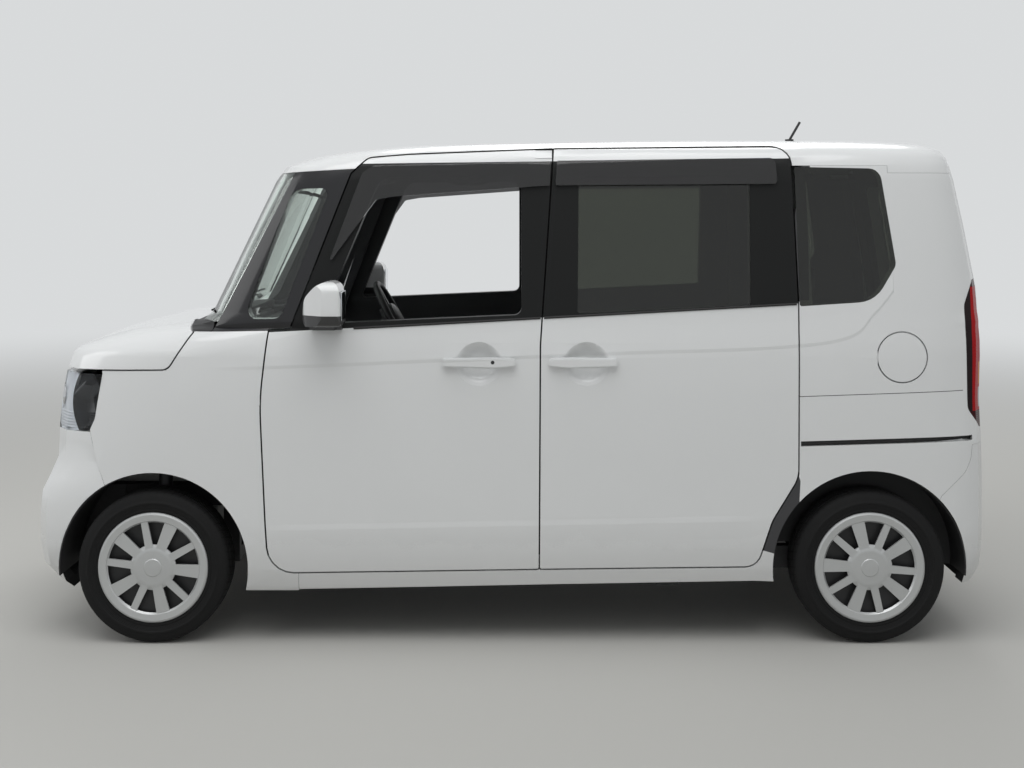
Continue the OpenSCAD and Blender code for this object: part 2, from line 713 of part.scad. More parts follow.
module front_door() {
  difference() {
    intersection() {
      slab(flank(-7, 2), rows(door_z - 30, roof_z - 30, 1), 0, wall_t);
      across(300, 900) difference() {
        shape(FRONT_DOOR, -shut_gap / 2);
        shape(FRONT_WINDOW);
      }
    }
    // Relief of the inner rear edge
    translate([b_x - 80, 300, 100]) cube([80 + 12, half_w - 20 - 300 - 60, 1700]);
    handle_dish(b_x + 212);
  }
}
module front_door_left() color("white") front_door();
module front_door_right() color("white") mirror([0, 1, 0]) front_door();

// Dark rain visors over the side windows
module front_visor()
  intersection() {
    slab(flank(-7, 2), rows(belt_z + 150, roof_z - 80, 1), -14, -seat);
    across(300, 900) polygon(fillet([
      [door_x - 235, belt_z + 180, 4], [door_x - 355, roof_z - 132, 10], [door_x - 395, roof_z - 107, 30],
      [b_x - 42, roof_z - 92, 6], [b_x - 38, roof_z - 178, 6], [door_x - 470, roof_z - 217, 20],
      [door_x - 405, roof_z - 228, 20]]));
  }
module front_door_visor_left() color("black") front_visor();
module front_door_visor_right() color("black") mirror([0, 1, 0]) front_visor();

module sliding_door_visors() color("black") both()
  intersection() {
    slab(flank(-1, 6), rows(roof_z - 230, roof_z - 60, 1), -14, -seat);
    across(300, 900) polygon(fillet([
      [b_x - 58, roof_z - 178, 6], [b_x - 64, roof_z - 90, 6], [slide_x + 75, roof_z - 80, 20],
      [slide_x + 70, roof_z - 172, 12]]));
  }

// Bar handle on two feet, with a lock block at one end: s = 1 has it at the rear
module handle(x, l, s) {
  y = side_y(x, grip_z - 20) + seat;
  for (p = [x + s * (l / 2 - 22), x - s * (l / 2 - 40)])
    translate([p - 16, y, grip_z - 13]) cube([32, 14, 26]);
  // Depth of a layer and how far it is drawn in
  for (q = [[7, 0], [13, 2.5], [17, 6]])
    across(y + 7, y + q[0] + 6) offset(delta = -q[1]) translate([x, grip_z]) polygon(fillet([
      [s * l / 2, -17, 9], [s * l / 2, 15, 9], [s * (80 - l / 2), 18, 30], [s * (6 - l / 2), 14, 12],
      [s * (6 - l / 2), -16, 12], [s * (80 - l / 2), -22, 30]]));
}
module front_door_handle_left() color("white") handle(b_x + 208, 266, 1);
module front_door_handle_right() color("white") mirror([0, 1, 0]) handle(b_x + 208, 266, 1);
module sliding_door_handles() color("white") both() handle(b_x - 150, 250, -1);

// Door mirror: head cut from its three outlines, on a foot at the belt
module mirror_left() {
  y = side_y(door_x - 300, belt_z - 30) + seat;
  intersection() {
    across(y + 34, y + 196) translate([door_x, belt_z]) polygon(fillet([
      [-306, -22, 14], [-306, 60, 300], [-292, 139, 34], [-222, 124, 90], [-172, 72, 60], [-165, 0, 44], [-178, -24, 14]]));
    translate([door_x, y, belt_z - 40]) linear_extrude(240, convexity = 4) polygon(fillet([
      [-308, 34, 24], [-308, 196, 24], [-240, 194, 60], [-163, 130, 70], [-163, 34, 30]]));
    along(0, nose) translate([y, belt_z]) polygon(fillet([
      [34, -10, 30], [60, -26, 20], [180, -22, 24], [196, 20, 60], [190, 118, 40], [130, 142, 110], [34, 130, 40]]));
  }
  translate([door_x - 290, y, belt_z - 44]) cube([112, 30, 26]);
  translate([door_x - 270, y + 20, belt_z - 42]) cube([76, 50, 32]);
}
module door_mirror_left() color("white") mirror_left();
module door_mirror_right() color("white") mirror([0, 1, 0]) mirror_left();

module hood() color("white")
  intersection() {
    slab(bow(-3), rows(930, 1126), 0, hood_t, hood_t);
    across(-far, far) shape(HOOD, -shut_gap / 2);
  }

// Tailgate outline in the rear view
module tailgate_outline(grow = 0)
  offset(delta = grow) polygon(fillet([
    [137 - half_w, 420, 60], [half_w - 137, 420, 60], [half_w - 125, 700, 30], [half_w - 125, belt_z + 120, 60],
    [half_w - 157, roof_z - 86, 50], [157 - half_w, roof_z - 86, 50], [125 - half_w, belt_z + 120, 60],
    [125 - half_w, 700, 30]]));
module rear_window_outline(grow = 0)
  offset(delta = grow) polygon(fillet([
    [207 - half_w, belt_z + 45, 50], [half_w - 207, belt_z + 45, 50], [half_w - 237, roof_z - 170, 60],
    [237 - half_w, roof_z - 170, 60]]));
module tailgate() color("white")
  intersection() {
    slab(stern(6), rows(400, roof_z - 70, 1), 0, wall_t);
    along(tail - 100, tail + 300) difference() {
      tailgate_outline(-shut_gap / 2);
      rear_window_outline();
    }
  }
module tailgate_glass() color("dimgray")
  intersection() {
    slab(stern(6), rows(belt_z + 20, roof_z - 150, 1), 3, 3 + glass_t);
    along(tail - 100, tail + 300) rear_window_outline(-seat);
  }

module fuel_lid() color("white")
  intersection() {
    slab(flank(1, 8), rows(900, 1115, 1), 0, 8);
    translate([fuel_x, 300, fuel_z]) rotate([-90, 0, 0]) cylinder(r = fuel_r - 2, h = 600);
  }

module antenna() color("black") {
  translate([xr + 142, 0, roof_z + seat]) cylinder(r = 17, h = 16);
  translate([xr + 142, 0, roof_z + 12]) rotate([0, -30, 0]) cylinder(r = 5, h = 85, $fn = 24);
}

// Cabin

module seat_profile(z) polygon(fillet([
  [250, z, 30], [275, 640, 50], [-60, 590, 60], [-190, 1100, 50], [-310, 1120, 50], [-200, z, 40]]));
module head_profile() polygon(fillet([[-210, 1150, 30], [-235, 1330, 30], [-310, 1325, 30], [-300, 1150, 30]]));
module front_seats() color("dimgray") both() {
  translate([xf - 1190, 0, 0]) {
    across(95, half_w - 147) seat_profile(400);
    across(220, 470) head_profile();
    for (y = [290, 400]) translate([-258, y, 1080]) cylinder(r = 6, h = 90, $fn = 24);
    for (y = [130, half_w - 197]) translate([-160, y, floor_top + seat]) cube([380, 24, 120]);
  }
}
module rear_seat() color("dimgray")
  translate([xr + 420, 0, 0]) {
    across(212 - half_w, half_w - 212) seat_profile(520 + seat);
    for (y = [-300, 300]) {
      across(y - 120, y + 120) head_profile();
      for (d = [-50, 50]) translate([-258, y + d, 1080]) cylinder(r = 6, h = 90, $fn = 24);
    }
  }

module steering_wheel() color("black")
  translate(steer_at) rotate([0, 90 + column_rake, 0]) {
    cylinder(r = 20, h = 360);
    translate([0, 0, -30]) rotate_extrude() translate([steer_d / 2 - 15, 0]) circle(15, $fn = 24);
    translate([0, 0, -40]) cylinder(r = 70, h = 50);
    for (a = [0, 90, 180]) rotate([0, 0, a + 90]) translate([0, -16, -36]) cube([steer_d / 2 - 15, 32, 14]);
  }

// Running gear

module front_subframe() color("dimgray") {
  translate([xf - 240, -rail_y - 5, 205]) cube([220, 2 * rail_y + 10, 50 - seat]);
  both() {
    translate([xf - 240, rail_y - 30, 205]) cube([60, 35, rail_z - 205 - seat]);
    hull() {
      translate([xf, track / 2 - ball_in, ball_z - 38]) cylinder(r = 24, h = 18, $fn = 32);
      translate([xf - 60, rail_y - 55, ball_z + 60]) cylinder(r = 24, h = 18, $fn = 32);
    }
    translate([xf, track / 2 - ball_in, ball_z]) rotate([atan2(strut_in - ball_in, strut_z - ball_z), 0, 0])
      translate([0, 0, -30]) cylinder(r = 9, h = 66, $fn = 32);
  }
}

module knuckle() {
  lean = atan2(strut_in - ball_in, strut_z - ball_z);
  difference() {
    union() {
      translate([xf, track / 2 - ball_in, ball_z]) rotate([lean, 0, 0]) cylinder(r = 24, h = 40);
      translate([xf - 28, track / 2 - 66, ball_z + 20]) cube([56, 42, 200]);
      translate([xf, track / 2 - 60, axle_z]) rotate([-90, 0, 0]) cylinder(r = 45, h = 34);
      translate([xf, track / 2 - 60, axle_z]) rotate([-90, 0, 0]) cylinder(r = spindle_r, h = 100);
      translate([xf, track / 2 - 108, ball_z + 180]) rotate([3, 0, 0]) cylinder(r = 25, h = strut_z - ball_z - 190);
      translate([xf - 28, track / 2 - 110, ball_z + 170]) cube([56, 60, 60]);
    }
    translate([xf, track / 2 - ball_in, ball_z]) rotate([lean, 0, 0]) translate([0, 0, -31]) cylinder(r = 9 + run_fit, h = 68, $fn = 32);
  }
}
module front_knuckle_left() color("dimgray") knuckle();
module front_knuckle_right() color("dimgray") mirror([0, 1, 0]) knuckle();

arm_y = track / 2 - 152;
module rear_axle() color("dimgray") {
  translate([xr + 170, -arm_y - 20, axle_z - 40]) cube([70, 2 * arm_y + 40, 60]);
  both() {
    translate([xr - 40, arm_y, axle_z - 45]) cube([600, 46, 80]);
    translate([xr + 480, arm_y, axle_z]) cube([60, 46, 494 - axle_z - seat]);
    translate([xr, arm_y + 20, axle_z]) rotate([-90, 0, 0]) cylinder(r = 45, h = track / 2 - arm_y - 46);
    translate([xr, arm_y + 20, axle_z]) rotate([-90, 0, 0]) cylinder(r = spindle_r, h = track / 2 - arm_y + 20);
  }
}

module fuel_tank() color("dimgray")
  translate([xf - 1300, -380, 205]) cube([560, 760, floor_top - floor_t - 205 - seat]);

module exhaust() color("gray") {
  translate([xr - 300, -420, 300]) cube([170, 460, 130]);
  translate([xr - 300, -380, 360]) rotate([0, -90, 0]) cylinder(r = 22, h = 70);
  translate([xr - 220, 0, 420]) cylinder(r = 8, h = 75 - seat);
}

// Wheels, lying on the Y axis with the outer side toward +Y
tyre_r = tyre_d / 2;
rim_r = rim_d / 2;
module tyre() rotate([-90, 0, 0]) rotate_extrude($fn = 96) polygon(fillet([
  [rim_r + seat, -tyre_w / 2 + 20, 4], [rim_r + 45, -tyre_w / 2, 45], [tyre_r, -tyre_w / 2 + 12, 22],
  [tyre_r, tyre_w / 2 - 12, 22], [rim_r + 45, tyre_w / 2, 45], [rim_r + seat, tyre_w / 2 - 20, 4]]));
module rim() rotate([-90, 0, 0]) difference() {
  union() {
    rotate_extrude($fn = 96) polygon([
      [rim_r - 12, -68], [rim_r + 10, -68], [rim_r + 10, -65], [rim_r, -63.3], [rim_r, 63.3],
      [rim_r + 10, 65], [rim_r + 10, 68], [rim_r - 12, 68], [rim_r - 12, 40], [70, 34], [70, 20], [rim_r - 12, 26]]);
    translate([0, 0, -20]) cylinder(r = 72, h = 54);
  }
  translate([0, 0, -21]) cylinder(r = spindle_r + run_fit, h = 56);
}
// Ring, hub plate and spokes: angle from the first, half width at the hub and at the ring
module cover(phase) rotate([-90, 0, 0]) {
  rotate_extrude($fn = 96) polygon([
    [rim_r - 16, 58], [rim_r - 12 - seat, 58], [rim_r - 12 - seat, 68 + seat], [cover_d / 2, 68 + seat],
    [cover_d / 2 - 2, 72], [cover_d / 2 - 8, 75], [rim_r - 13, 73], [rim_r - 19, 66]]);
  rotate_extrude() polygon([[0, 60], [80, 60], [80, 66], [66, 73], [32, 74], [29, 76], [0, 77]]);
  for (i = [0:4], k = [[0, 17, 24], [34, 14, 12]]) rotate([0, 0, 180 + phase + 72 * i + k[0]])
    translate([0, 0, 62]) linear_extrude(8) polygon([
      [62, -k[1]], [rim_r - 14.5, -k[2]], [rim_r - 13, 0], [rim_r - 14.5, k[2]], [62, k[1]]]);
}
module place(x, s) translate([x, s * track / 2, axle_z]) mirror([0, s < 0 ? 1 : 0, 0]) children();

module tyre_front_left() color("black") place(xf, 1) tyre();
module wheel_front_left() color("dimgray") place(xf, 1) rim();
module cover_front_left() color("silver") place(xf, 1) cover(front_phase);
module tyre_front_right() color("black") place(xf, -1) tyre();
module wheel_front_right() color("dimgray") place(xf, -1) rim();
module cover_front_right() color("silver") place(xf, -1) cover(front_phase);
module tyre_rear_left() color("black") place(xr, 1) tyre();
module wheel_rear_left() color("dimgray") place(xr, 1) rim();
module cover_rear_left() color("silver") place(xr, 1) cover(rear_phase);
module tyre_rear_right() color("black") place(xr, -1) tyre();
module wheel_rear_right() color("dimgray") place(xr, -1) rim();
module cover_rear_right() color("silver") place(xr, -1) cover(rear_phase);

floor_pan();
wheel_liners();
engine_block();
dashboard();
body_sides();
door_stops();
front_pillars();
front_fenders();
roof();
cowl();
windscreen();
front_quarter_glass();
rear_quarter_glass();
front_bumper();
grille();
headlamps();
rear_bumper();
tail_lamps();
sliding_doors();
sliding_door_glass();
sliding_door_visors();
sliding_door_handles();
front_door_left();
front_door_visor_left();
front_door_handle_left();
door_mirror_left();
front_door_right();
front_door_visor_right();
front_door_handle_right();
door_mirror_right();
hood();
tailgate();
tailgate_glass();
fuel_lid();
antenna();
front_seats();
rear_seat();
steering_wheel();
front_subframe();
front_knuckle_left();
front_knuckle_right();
rear_axle();
fuel_tank();
exhaust();
tyre_front_left();
wheel_front_left();
cover_front_left();
tyre_front_right();
wheel_front_right();
cover_front_right();
tyre_rear_left();
wheel_rear_left();
cover_rear_left();
tyre_rear_right();
wheel_rear_right();
cover_rear_right();
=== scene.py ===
import math
import bpy
from mathutils import Matrix, Vector


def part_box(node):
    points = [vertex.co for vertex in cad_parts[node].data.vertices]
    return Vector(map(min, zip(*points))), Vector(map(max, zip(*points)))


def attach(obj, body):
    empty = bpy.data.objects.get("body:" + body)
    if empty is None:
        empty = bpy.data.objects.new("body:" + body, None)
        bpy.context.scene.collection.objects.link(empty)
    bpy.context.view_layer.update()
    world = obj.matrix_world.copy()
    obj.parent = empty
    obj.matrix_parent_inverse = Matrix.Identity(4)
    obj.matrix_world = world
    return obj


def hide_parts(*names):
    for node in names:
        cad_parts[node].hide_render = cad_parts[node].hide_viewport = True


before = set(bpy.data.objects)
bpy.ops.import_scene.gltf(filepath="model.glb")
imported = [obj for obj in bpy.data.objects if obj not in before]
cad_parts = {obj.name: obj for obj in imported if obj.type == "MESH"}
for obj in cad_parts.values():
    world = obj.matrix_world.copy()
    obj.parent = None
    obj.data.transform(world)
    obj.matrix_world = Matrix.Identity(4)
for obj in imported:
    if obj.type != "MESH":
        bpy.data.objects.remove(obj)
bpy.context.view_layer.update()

# Studio: a pale painted floor that fades into the wall, one broad soft lamp over the near side and weaker
# ones over the far side and the nose. The camera stands level, square to the car's left side.
bpy.ops.object.select_all(action="DESELECT")
bpy.ops.mesh.primitive_plane_add(size=60)
studio_floor = bpy.context.object
studio_floor.name = "studio_floor"
pale_wall = (0.93, 0.95, 0.96, 1)
wall_level = 0.74
room_light, floor_light = 0.45, 0.25
near_floor, floor_end = 2.6, 13.0


def seen_level(tree, unseen, seen):
    ray = tree.nodes.new("ShaderNodeLightPath")
    seen_by = ray.outputs["Is Camera Ray"]
    for other in ("Is Glossy Ray", "Is Transmission Ray"):
        either = tree.nodes.new("ShaderNodeMath")
        either.operation = "MAXIMUM"
        tree.links.new(seen_by, either.inputs[0])
        tree.links.new(ray.outputs[other], either.inputs[1])
        seen_by = either.outputs[0]
    level = tree.nodes.new("ShaderNodeMapRange")
    level.inputs["To Min"].default_value = unseen
    level.inputs["To Max"].default_value = seen
    tree.links.new(seen_by, level.inputs["Value"])
    return level.outputs[0]


floor_paint = bpy.data.materials.new("floor_paint")
floor_paint.use_nodes = True
floor_tree = floor_paint.node_tree
floor_shader = floor_tree.nodes["Principled BSDF"]
floor_shader.inputs["Base Color"].default_value = (0.52, 0.515, 0.49, 1)
floor_shader.inputs["Roughness"].default_value = 0.75
floor_place = floor_tree.nodes.new("ShaderNodeTexCoord")
floor_reach = floor_tree.nodes.new("ShaderNodeVectorMath")
floor_reach.operation = "LENGTH"
floor_tree.links.new(floor_place.outputs["Object"], floor_reach.inputs[0])
far_floor = floor_tree.nodes.new("ShaderNodeMapRange")
far_floor.interpolation_type = "SMOOTHSTEP"
far_floor.inputs["From Min"].default_value = near_floor
far_floor.inputs["From Max"].default_value = floor_end
floor_tree.links.new(floor_reach.outputs["Value"], far_floor.inputs["Value"])
floor_glow = floor_tree.nodes.new("ShaderNodeEmission")
floor_glow.inputs["Color"].default_value = pale_wall
floor_tree.links.new(seen_level(floor_tree, floor_light, wall_level), floor_glow.inputs["Strength"])
floor_mix = floor_tree.nodes.new("ShaderNodeMixShader")
floor_tree.links.new(far_floor.outputs[0], floor_mix.inputs[0])
floor_tree.links.new(floor_shader.outputs[0], floor_mix.inputs[1])
floor_tree.links.new(floor_glow.outputs[0], floor_mix.inputs[2])
floor_tree.links.new(floor_mix.outputs[0], floor_tree.nodes["Material Output"].inputs["Surface"])
studio_floor.data.materials.append(floor_paint)

studio_sky = bpy.data.worlds.new("studio_sky")
bpy.context.scene.world = studio_sky
studio_sky.use_nodes = True
sky_tree = studio_sky.node_tree
sky_tree.nodes["Background"].inputs["Color"].default_value = pale_wall
sky_tree.links.new(seen_level(sky_tree, room_light, wall_level), sky_tree.nodes["Background"].inputs["Strength"])
lamp_target = Vector((0, 0, 0.8))
for lamp_name, lamp_place, lamp_size, lamp_watts in (
        ("near_lamp", (0.4, 3.0, 6.4), 6.0, 190.0),
        ("far_lamp", (-1.0, -4.8, 5.4), 5.0, 120.0),
        ("nose_lamp", (6.0, 1.0, 4.0), 4.0, 60.0)):
    bpy.ops.object.light_add(type="AREA", location=lamp_place)
    lamp = bpy.context.object
    lamp.name = lamp_name
    lamp.data.shape = "DISK"
    lamp.data.size = lamp_size
    lamp.data.energy = lamp_watts
    lamp.rotation_euler = (lamp_target - lamp.location).to_track_quat("-Z", "Y").to_euler()
bpy.context.scene.view_settings.view_transform = "Standard"
bpy.ops.object.camera_add(location=(-0.0118, 5.712, 1.547), rotation=(math.radians(90), 0, math.radians(180)))
side_camera = bpy.context.object
side_camera.name = "side_camera"
side_camera.data.sensor_width = 36.0
side_camera.data.lens = 49.9
side_camera.data.shift_y = -0.176
bpy.context.scene.camera = side_camera

# Underside: a welded steel floor with a sprayed black coating, steel arms, axle and tank in chassis
# paint, a cast alloy engine as one block, and a bare steel exhaust. The cabin side is carpeted.
def add_node(tree, kind, settings=None, **inputs):
    node = tree.nodes.new(kind)
    for key, value in (settings or {}).items():
        setattr(node, key, value)
    for key, value in inputs.items():
        socket = node.inputs[int(key[2:])] if key[:2] == "in" else node.inputs[key.replace("_", " ")]
        if isinstance(value, bpy.types.NodeSocket):
            tree.links.new(value, socket)
        else:
            socket.default_value = value
    return node


def reckon(tree, operation, *values):
    terms = {f"in{i}": value for i, value in enumerate(values)}
    return add_node(tree, "ShaderNodeMath", {"operation": operation}, **terms).outputs[0]


def new_group(name, inputs, outputs):
    group = bpy.data.node_groups.new(name, "ShaderNodeTree")
    for label, kind in inputs:
        group.interface.new_socket(label, in_out="INPUT", socket_type=kind)
    for label, kind in outputs:
        group.interface.new_socket(label, in_out="OUTPUT", socket_type=kind)
    return group, group.nodes.new("NodeGroupInput"), group.nodes.new("NodeGroupOutput")


grain_group, grain_in, grain_out = new_group(
    "surface_grain", (("Position", "NodeSocketVector"), ("Scale", "NodeSocketFloat")),
    (("Tone", "NodeSocketFloat"), ("Height", "NodeSocketFloat")))
broad_grain = add_node(grain_group, "ShaderNodeTexNoise", None, Vector=grain_in.outputs["Position"],
                       Scale=7.0, Detail=5.0)
fine_grain = add_node(grain_group, "ShaderNodeTexNoise", None, Vector=grain_in.outputs["Position"],
                      Scale=grain_in.outputs["Scale"], Detail=2.0)
grain_tone = reckon(grain_group, "MULTIPLY_ADD", broad_grain.outputs[0], 0.6,
                    reckon(grain_group, "MULTIPLY", fine_grain.outputs[0], 0.4))
grain_group.links.new(grain_tone, grain_out.inputs["Tone"])
grain_group.links.new(fine_grain.outputs[0], grain_out.inputs["Height"])


def new_finish(name, colour, roughness, grain=0.004, tone=0.06, spread=0.05, depth=0.0, **sockets):
    finish = bpy.data.materials.new(name)
    finish.use_nodes = True
    tree = finish.node_tree
    shader = tree.nodes["Principled BSDF"]
    place = add_node(tree, "ShaderNodeTexCoord").outputs["Object"]
    surface = add_node(tree, "ShaderNodeGroup", {"node_tree": grain_group}, Position=place, Scale=1.0 / grain)
    dark = [c * (1.0 - tone) for c in colour] + [1]
    light = [min(1.0, c * (1.0 + tone)) for c in colour] + [1]
    shade = add_node(tree, "ShaderNodeMix", {"data_type": "RGBA"}, in0=surface.outputs["Tone"], in6=dark, in7=light)
    tree.links.new(shade.outputs[2], shader.inputs["Base Color"])
    gloss = add_node(tree, "ShaderNodeMapRange", None, Value=surface.outputs["Tone"], From_Min=0.3, From_Max=0.7,
                     To_Min=max(0.0, roughness - spread), To_Max=min(1.0, roughness + spread))
    tree.links.new(gloss.outputs[0], shader.inputs["Roughness"])
    if depth:
        bump = add_node(tree, "ShaderNodeBump", None, Distance=depth, Height=surface.outputs["Height"])
        tree.links.new(bump.outputs[0], shader.inputs["Normal"])
    for socket, value in sockets.items():
        shader.inputs[socket.replace("_", " ")].default_value = value
    return finish


def finish_nodes(finish, *names, angle=28.0, lining=None, inner=None):
    for name in names:
        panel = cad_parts[name]
        panel.data.materials.clear()
        panel.data.materials.append(finish)
        if lining:
            panel.data.materials.append(lining)
        for face in panel.data.polygons:
            face.use_smooth = True
            face.material_index = 1 if lining and inner(face.normal, face.center) else 0
        weld = panel.modifiers.new("weld", "WELD")
        weld.merge_threshold = 0.00005
        split = panel.modifiers.new("split", "EDGE_SPLIT")
        split.split_angle = math.radians(angle)
        normals = panel.modifiers.new("normals", "WEIGHTED_NORMAL")
        normals.keep_sharp = True


sprayed_floor = new_finish("sprayed_floor", (0.03, 0.03, 0.031), 0.75, grain=0.003, tone=0.3, depth=0.0006)
cabin_carpet = new_finish("cabin_carpet", (0.035, 0.035, 0.037), 0.95, grain=0.0015, tone=0.4, depth=0.0012)
chassis_paint = new_finish("chassis_paint", (0.025, 0.025, 0.027), 0.5, grain=0.006, tone=0.25, depth=0.0002)
cast_alloy = new_finish("cast_alloy", (0.34, 0.34, 0.33), 0.55, grain=0.002, tone=0.18, depth=0.0004, Metallic=0.8)
bare_steel = new_finish("bare_steel", (0.3, 0.28, 0.26), 0.42, grain=0.01, tone=0.3, depth=0.0001, Metallic=0.9)
finish_nodes(sprayed_floor, "floor_pan", lining=cabin_carpet,
             inner=lambda normal, centre: normal.z > 0.7 and -1.6 < centre.x < 1.0 and centre.z > 0.25)
finish_nodes(chassis_paint, "front_subframe", "rear_axle", "fuel_tank", "front_knuckle_left", "front_knuckle_right")
finish_nodes(cast_alloy, "engine_block")
finish_nodes(bare_steel, "exhaust")

# Painted shell: pressed steel panels in plain white gloss paint under clear lacquer, spot-welded or bolted
# on, with a folded shoulder line, a lower door line and a seam across the rear quarter.
SHOULDER_LINE = ((1.117, 0.970), (0.871, 0.977), (0.240, 1.003), (-0.390, 1.028), (-1.023, 1.054),
                 (-1.185, 1.080), (-1.279, 1.157), (-1.354, 1.244))
SHOULDER_SPAN = (-1.36, 1.12)
SHOULDER_RISE = (0.95, 1.25)
LOWER_LINE = ((0.90, 0.399), (-0.92, 0.435))
QUARTER_SEAM = ((-1.025, 0.871), (-1.592, 0.890))
SEAM_HALF, SEAM_SPAN = 0.0013, (-1.60, -1.02)
FOLD_HEIGHT, FLANK_Y = 0.0018, 0.62
HINGE_X, HINGE_HALF, HINGE_RISE = 0.8705, 0.0035, (0.78, 0.92)
white = (0.8, 0.81, 0.812)
lacquer = 0.7
flat_black = (0.008, 0.0085, 0.0085)


def line_offset(tree, x, z, ends):
    slope = (ends[1][1] - ends[0][1]) / (ends[1][0] - ends[0][0])
    level = reckon(tree, "MULTIPLY_ADD", x, slope, ends[0][1] - slope * ends[0][0])
    return reckon(tree, "SUBTRACT", z, level)


def between(tree, value, low, high):
    return reckon(tree, "MULTIPLY", reckon(tree, "GREATER_THAN", value, low), reckon(tree, "LESS_THAN", value, high))


def fold(tree, offset, below, above):
    rise = reckon(tree, "MULTIPLY_ADD", offset, 1.0 / below, 1.0)
    fall = reckon(tree, "MULTIPLY_ADD", offset, -1.0 / above, 1.0)
    return reckon(tree, "MAXIMUM", reckon(tree, "MINIMUM", rise, fall), 0.0)


press_group, press_in, press_out = new_group(
    "press_lines", (("Position", "NodeSocketVector"),), (("Height", "NodeSocketFloat"), ("Seam", "NodeSocketFloat")))
press_x, press_y, press_z = add_node(press_group, "ShaderNodeSeparateXYZ", None,
                                     Vector=press_in.outputs["Position"]).outputs
along_side = reckon(press_group, "MULTIPLY_ADD", press_x, 1.0 / (SHOULDER_SPAN[1] - SHOULDER_SPAN[0]),
                    -SHOULDER_SPAN[0] / (SHOULDER_SPAN[1] - SHOULDER_SPAN[0]))
shoulder_curve = add_node(press_group, "ShaderNodeFloatCurve", None, Value=along_side)
shoulder_points = shoulder_curve.mapping.curves[0].points
shoulder_row = sorted(((x - SHOULDER_SPAN[0]) / (SHOULDER_SPAN[1] - SHOULDER_SPAN[0]),
                       (z - SHOULDER_RISE[0]) / (SHOULDER_RISE[1] - SHOULDER_RISE[0])) for x, z in SHOULDER_LINE)
shoulder_points[0].location = shoulder_row[0]
shoulder_points[1].location = shoulder_row[-1]
for spot in shoulder_row[1:-1]:
    shoulder_points.new(*spot)
shoulder_curve.mapping.update()
shoulder_level = reckon(press_group, "MULTIPLY_ADD", shoulder_curve.outputs[0],
                        SHOULDER_RISE[1] - SHOULDER_RISE[0], SHOULDER_RISE[0])


def fade(tree, value, start, full):
    return add_node(tree, "ShaderNodeMapRange", {"interpolation_type": "SMOOTHSTEP"},
                    Value=value, From_Min=start, From_Max=full).outputs[0]


shoulder_reach = reckon(press_group, "MULTIPLY", reckon(press_group, "GREATER_THAN", press_x, -1.356),
                        fade(press_group, press_x, 1.117, 0.75))
shoulder_fold = reckon(press_group, "MULTIPLY", shoulder_reach,
                       fold(press_group, reckon(press_group, "SUBTRACT", press_z, shoulder_level), 0.012, 0.085))
lower_reach = reckon(press_group, "MULTIPLY", fade(press_group, press_x, -0.95, -0.72),
                     fade(press_group, press_x, 0.93, 0.7))
lower_fold = reckon(press_group, "MULTIPLY", lower_reach,
                    fold(press_group, line_offset(press_group, press_x, press_z, LOWER_LINE), 0.06, 0.02))
seam_offset = line_offset(press_group, press_x, press_z, QUARTER_SEAM)
quarter_seam = reckon(press_group, "MULTIPLY", between(press_group, seam_offset, -SEAM_HALF, SEAM_HALF),
                      between(press_group, press_x, *SEAM_SPAN))
on_flank = reckon(press_group, "GREATER_THAN", reckon(press_group, "ABSOLUTE", press_y), FLANK_Y)
press_height = reckon(press_group, "MULTIPLY", reckon(press_group, "ADD", shoulder_fold, lower_fold), FOLD_HEIGHT)
press_height = reckon(press_group, "MULTIPLY", press_height, on_flank)
press_group.links.new(press_height, press_out.inputs["Height"])
press_group.links.new(reckon(press_group, "MULTIPLY", quarter_seam, on_flank), press_out.inputs["Seam"])


def overlay(finish, mask, colour, roughness):
    tree = finish.node_tree
    shader = tree.nodes["Principled BSDF"]
    base = shader.inputs["Base Color"].links[0].from_socket
    mixed = add_node(tree, "ShaderNodeMix", {"data_type": "RGBA"}, in0=mask, in6=base, in7=(*colour, 1))
    tree.links.new(mixed.outputs[2], shader.inputs["Base Color"])
    rough = shader.inputs["Roughness"].links[0].from_socket
    blended = add_node(tree, "ShaderNodeMix", {"data_type": "FLOAT"}, in0=mask, in2=rough, in3=roughness)
    tree.links.new(blended.outputs[0], shader.inputs["Roughness"])


def position(finish):
    tree = finish.node_tree
    place = next(n for n in tree.nodes if n.bl_idname == "ShaderNodeTexCoord").outputs["Object"]
    return place, add_node(tree, "ShaderNodeSeparateXYZ", None, Vector=place).outputs


def paint(name):
    finish = new_finish(name, white, 0.24, grain=0.0025, tone=0.012, spread=0.03,
                        Coat_Weight=lacquer, Coat_Roughness=0.04)
    tree = finish.node_tree
    place, (_, _, height) = position(finish)
    lines = add_node(tree, "ShaderNodeGroup", {"node_tree": press_group}, Position=place)
    bump = add_node(tree, "ShaderNodeBump", None, Distance=1.0, Height=lines.outputs["Height"])
    tree.links.new(bump.outputs[0], tree.nodes["Principled BSDF"].inputs["Normal"])
    overlay(finish, lines.outputs["Seam"], (0.05, 0.05, 0.05), 0.6)
    # Painted shade: the paint darkens to grey-brown towards the bottom of the sills and bumpers
    painted_low_shade = add_node(tree, "ShaderNodeMapRange", None, Value=height, From_Min=0.17, From_Max=0.42,
                    To_Min=0.35, To_Max=0.0)
    overlay(finish, painted_low_shade.outputs[0], (0.34, 0.33, 0.31), 0.6)
    return finish


def faces_cabin(normal, centre):
    return normal.y * math.copysign(1.0, centre.y) < -0.5


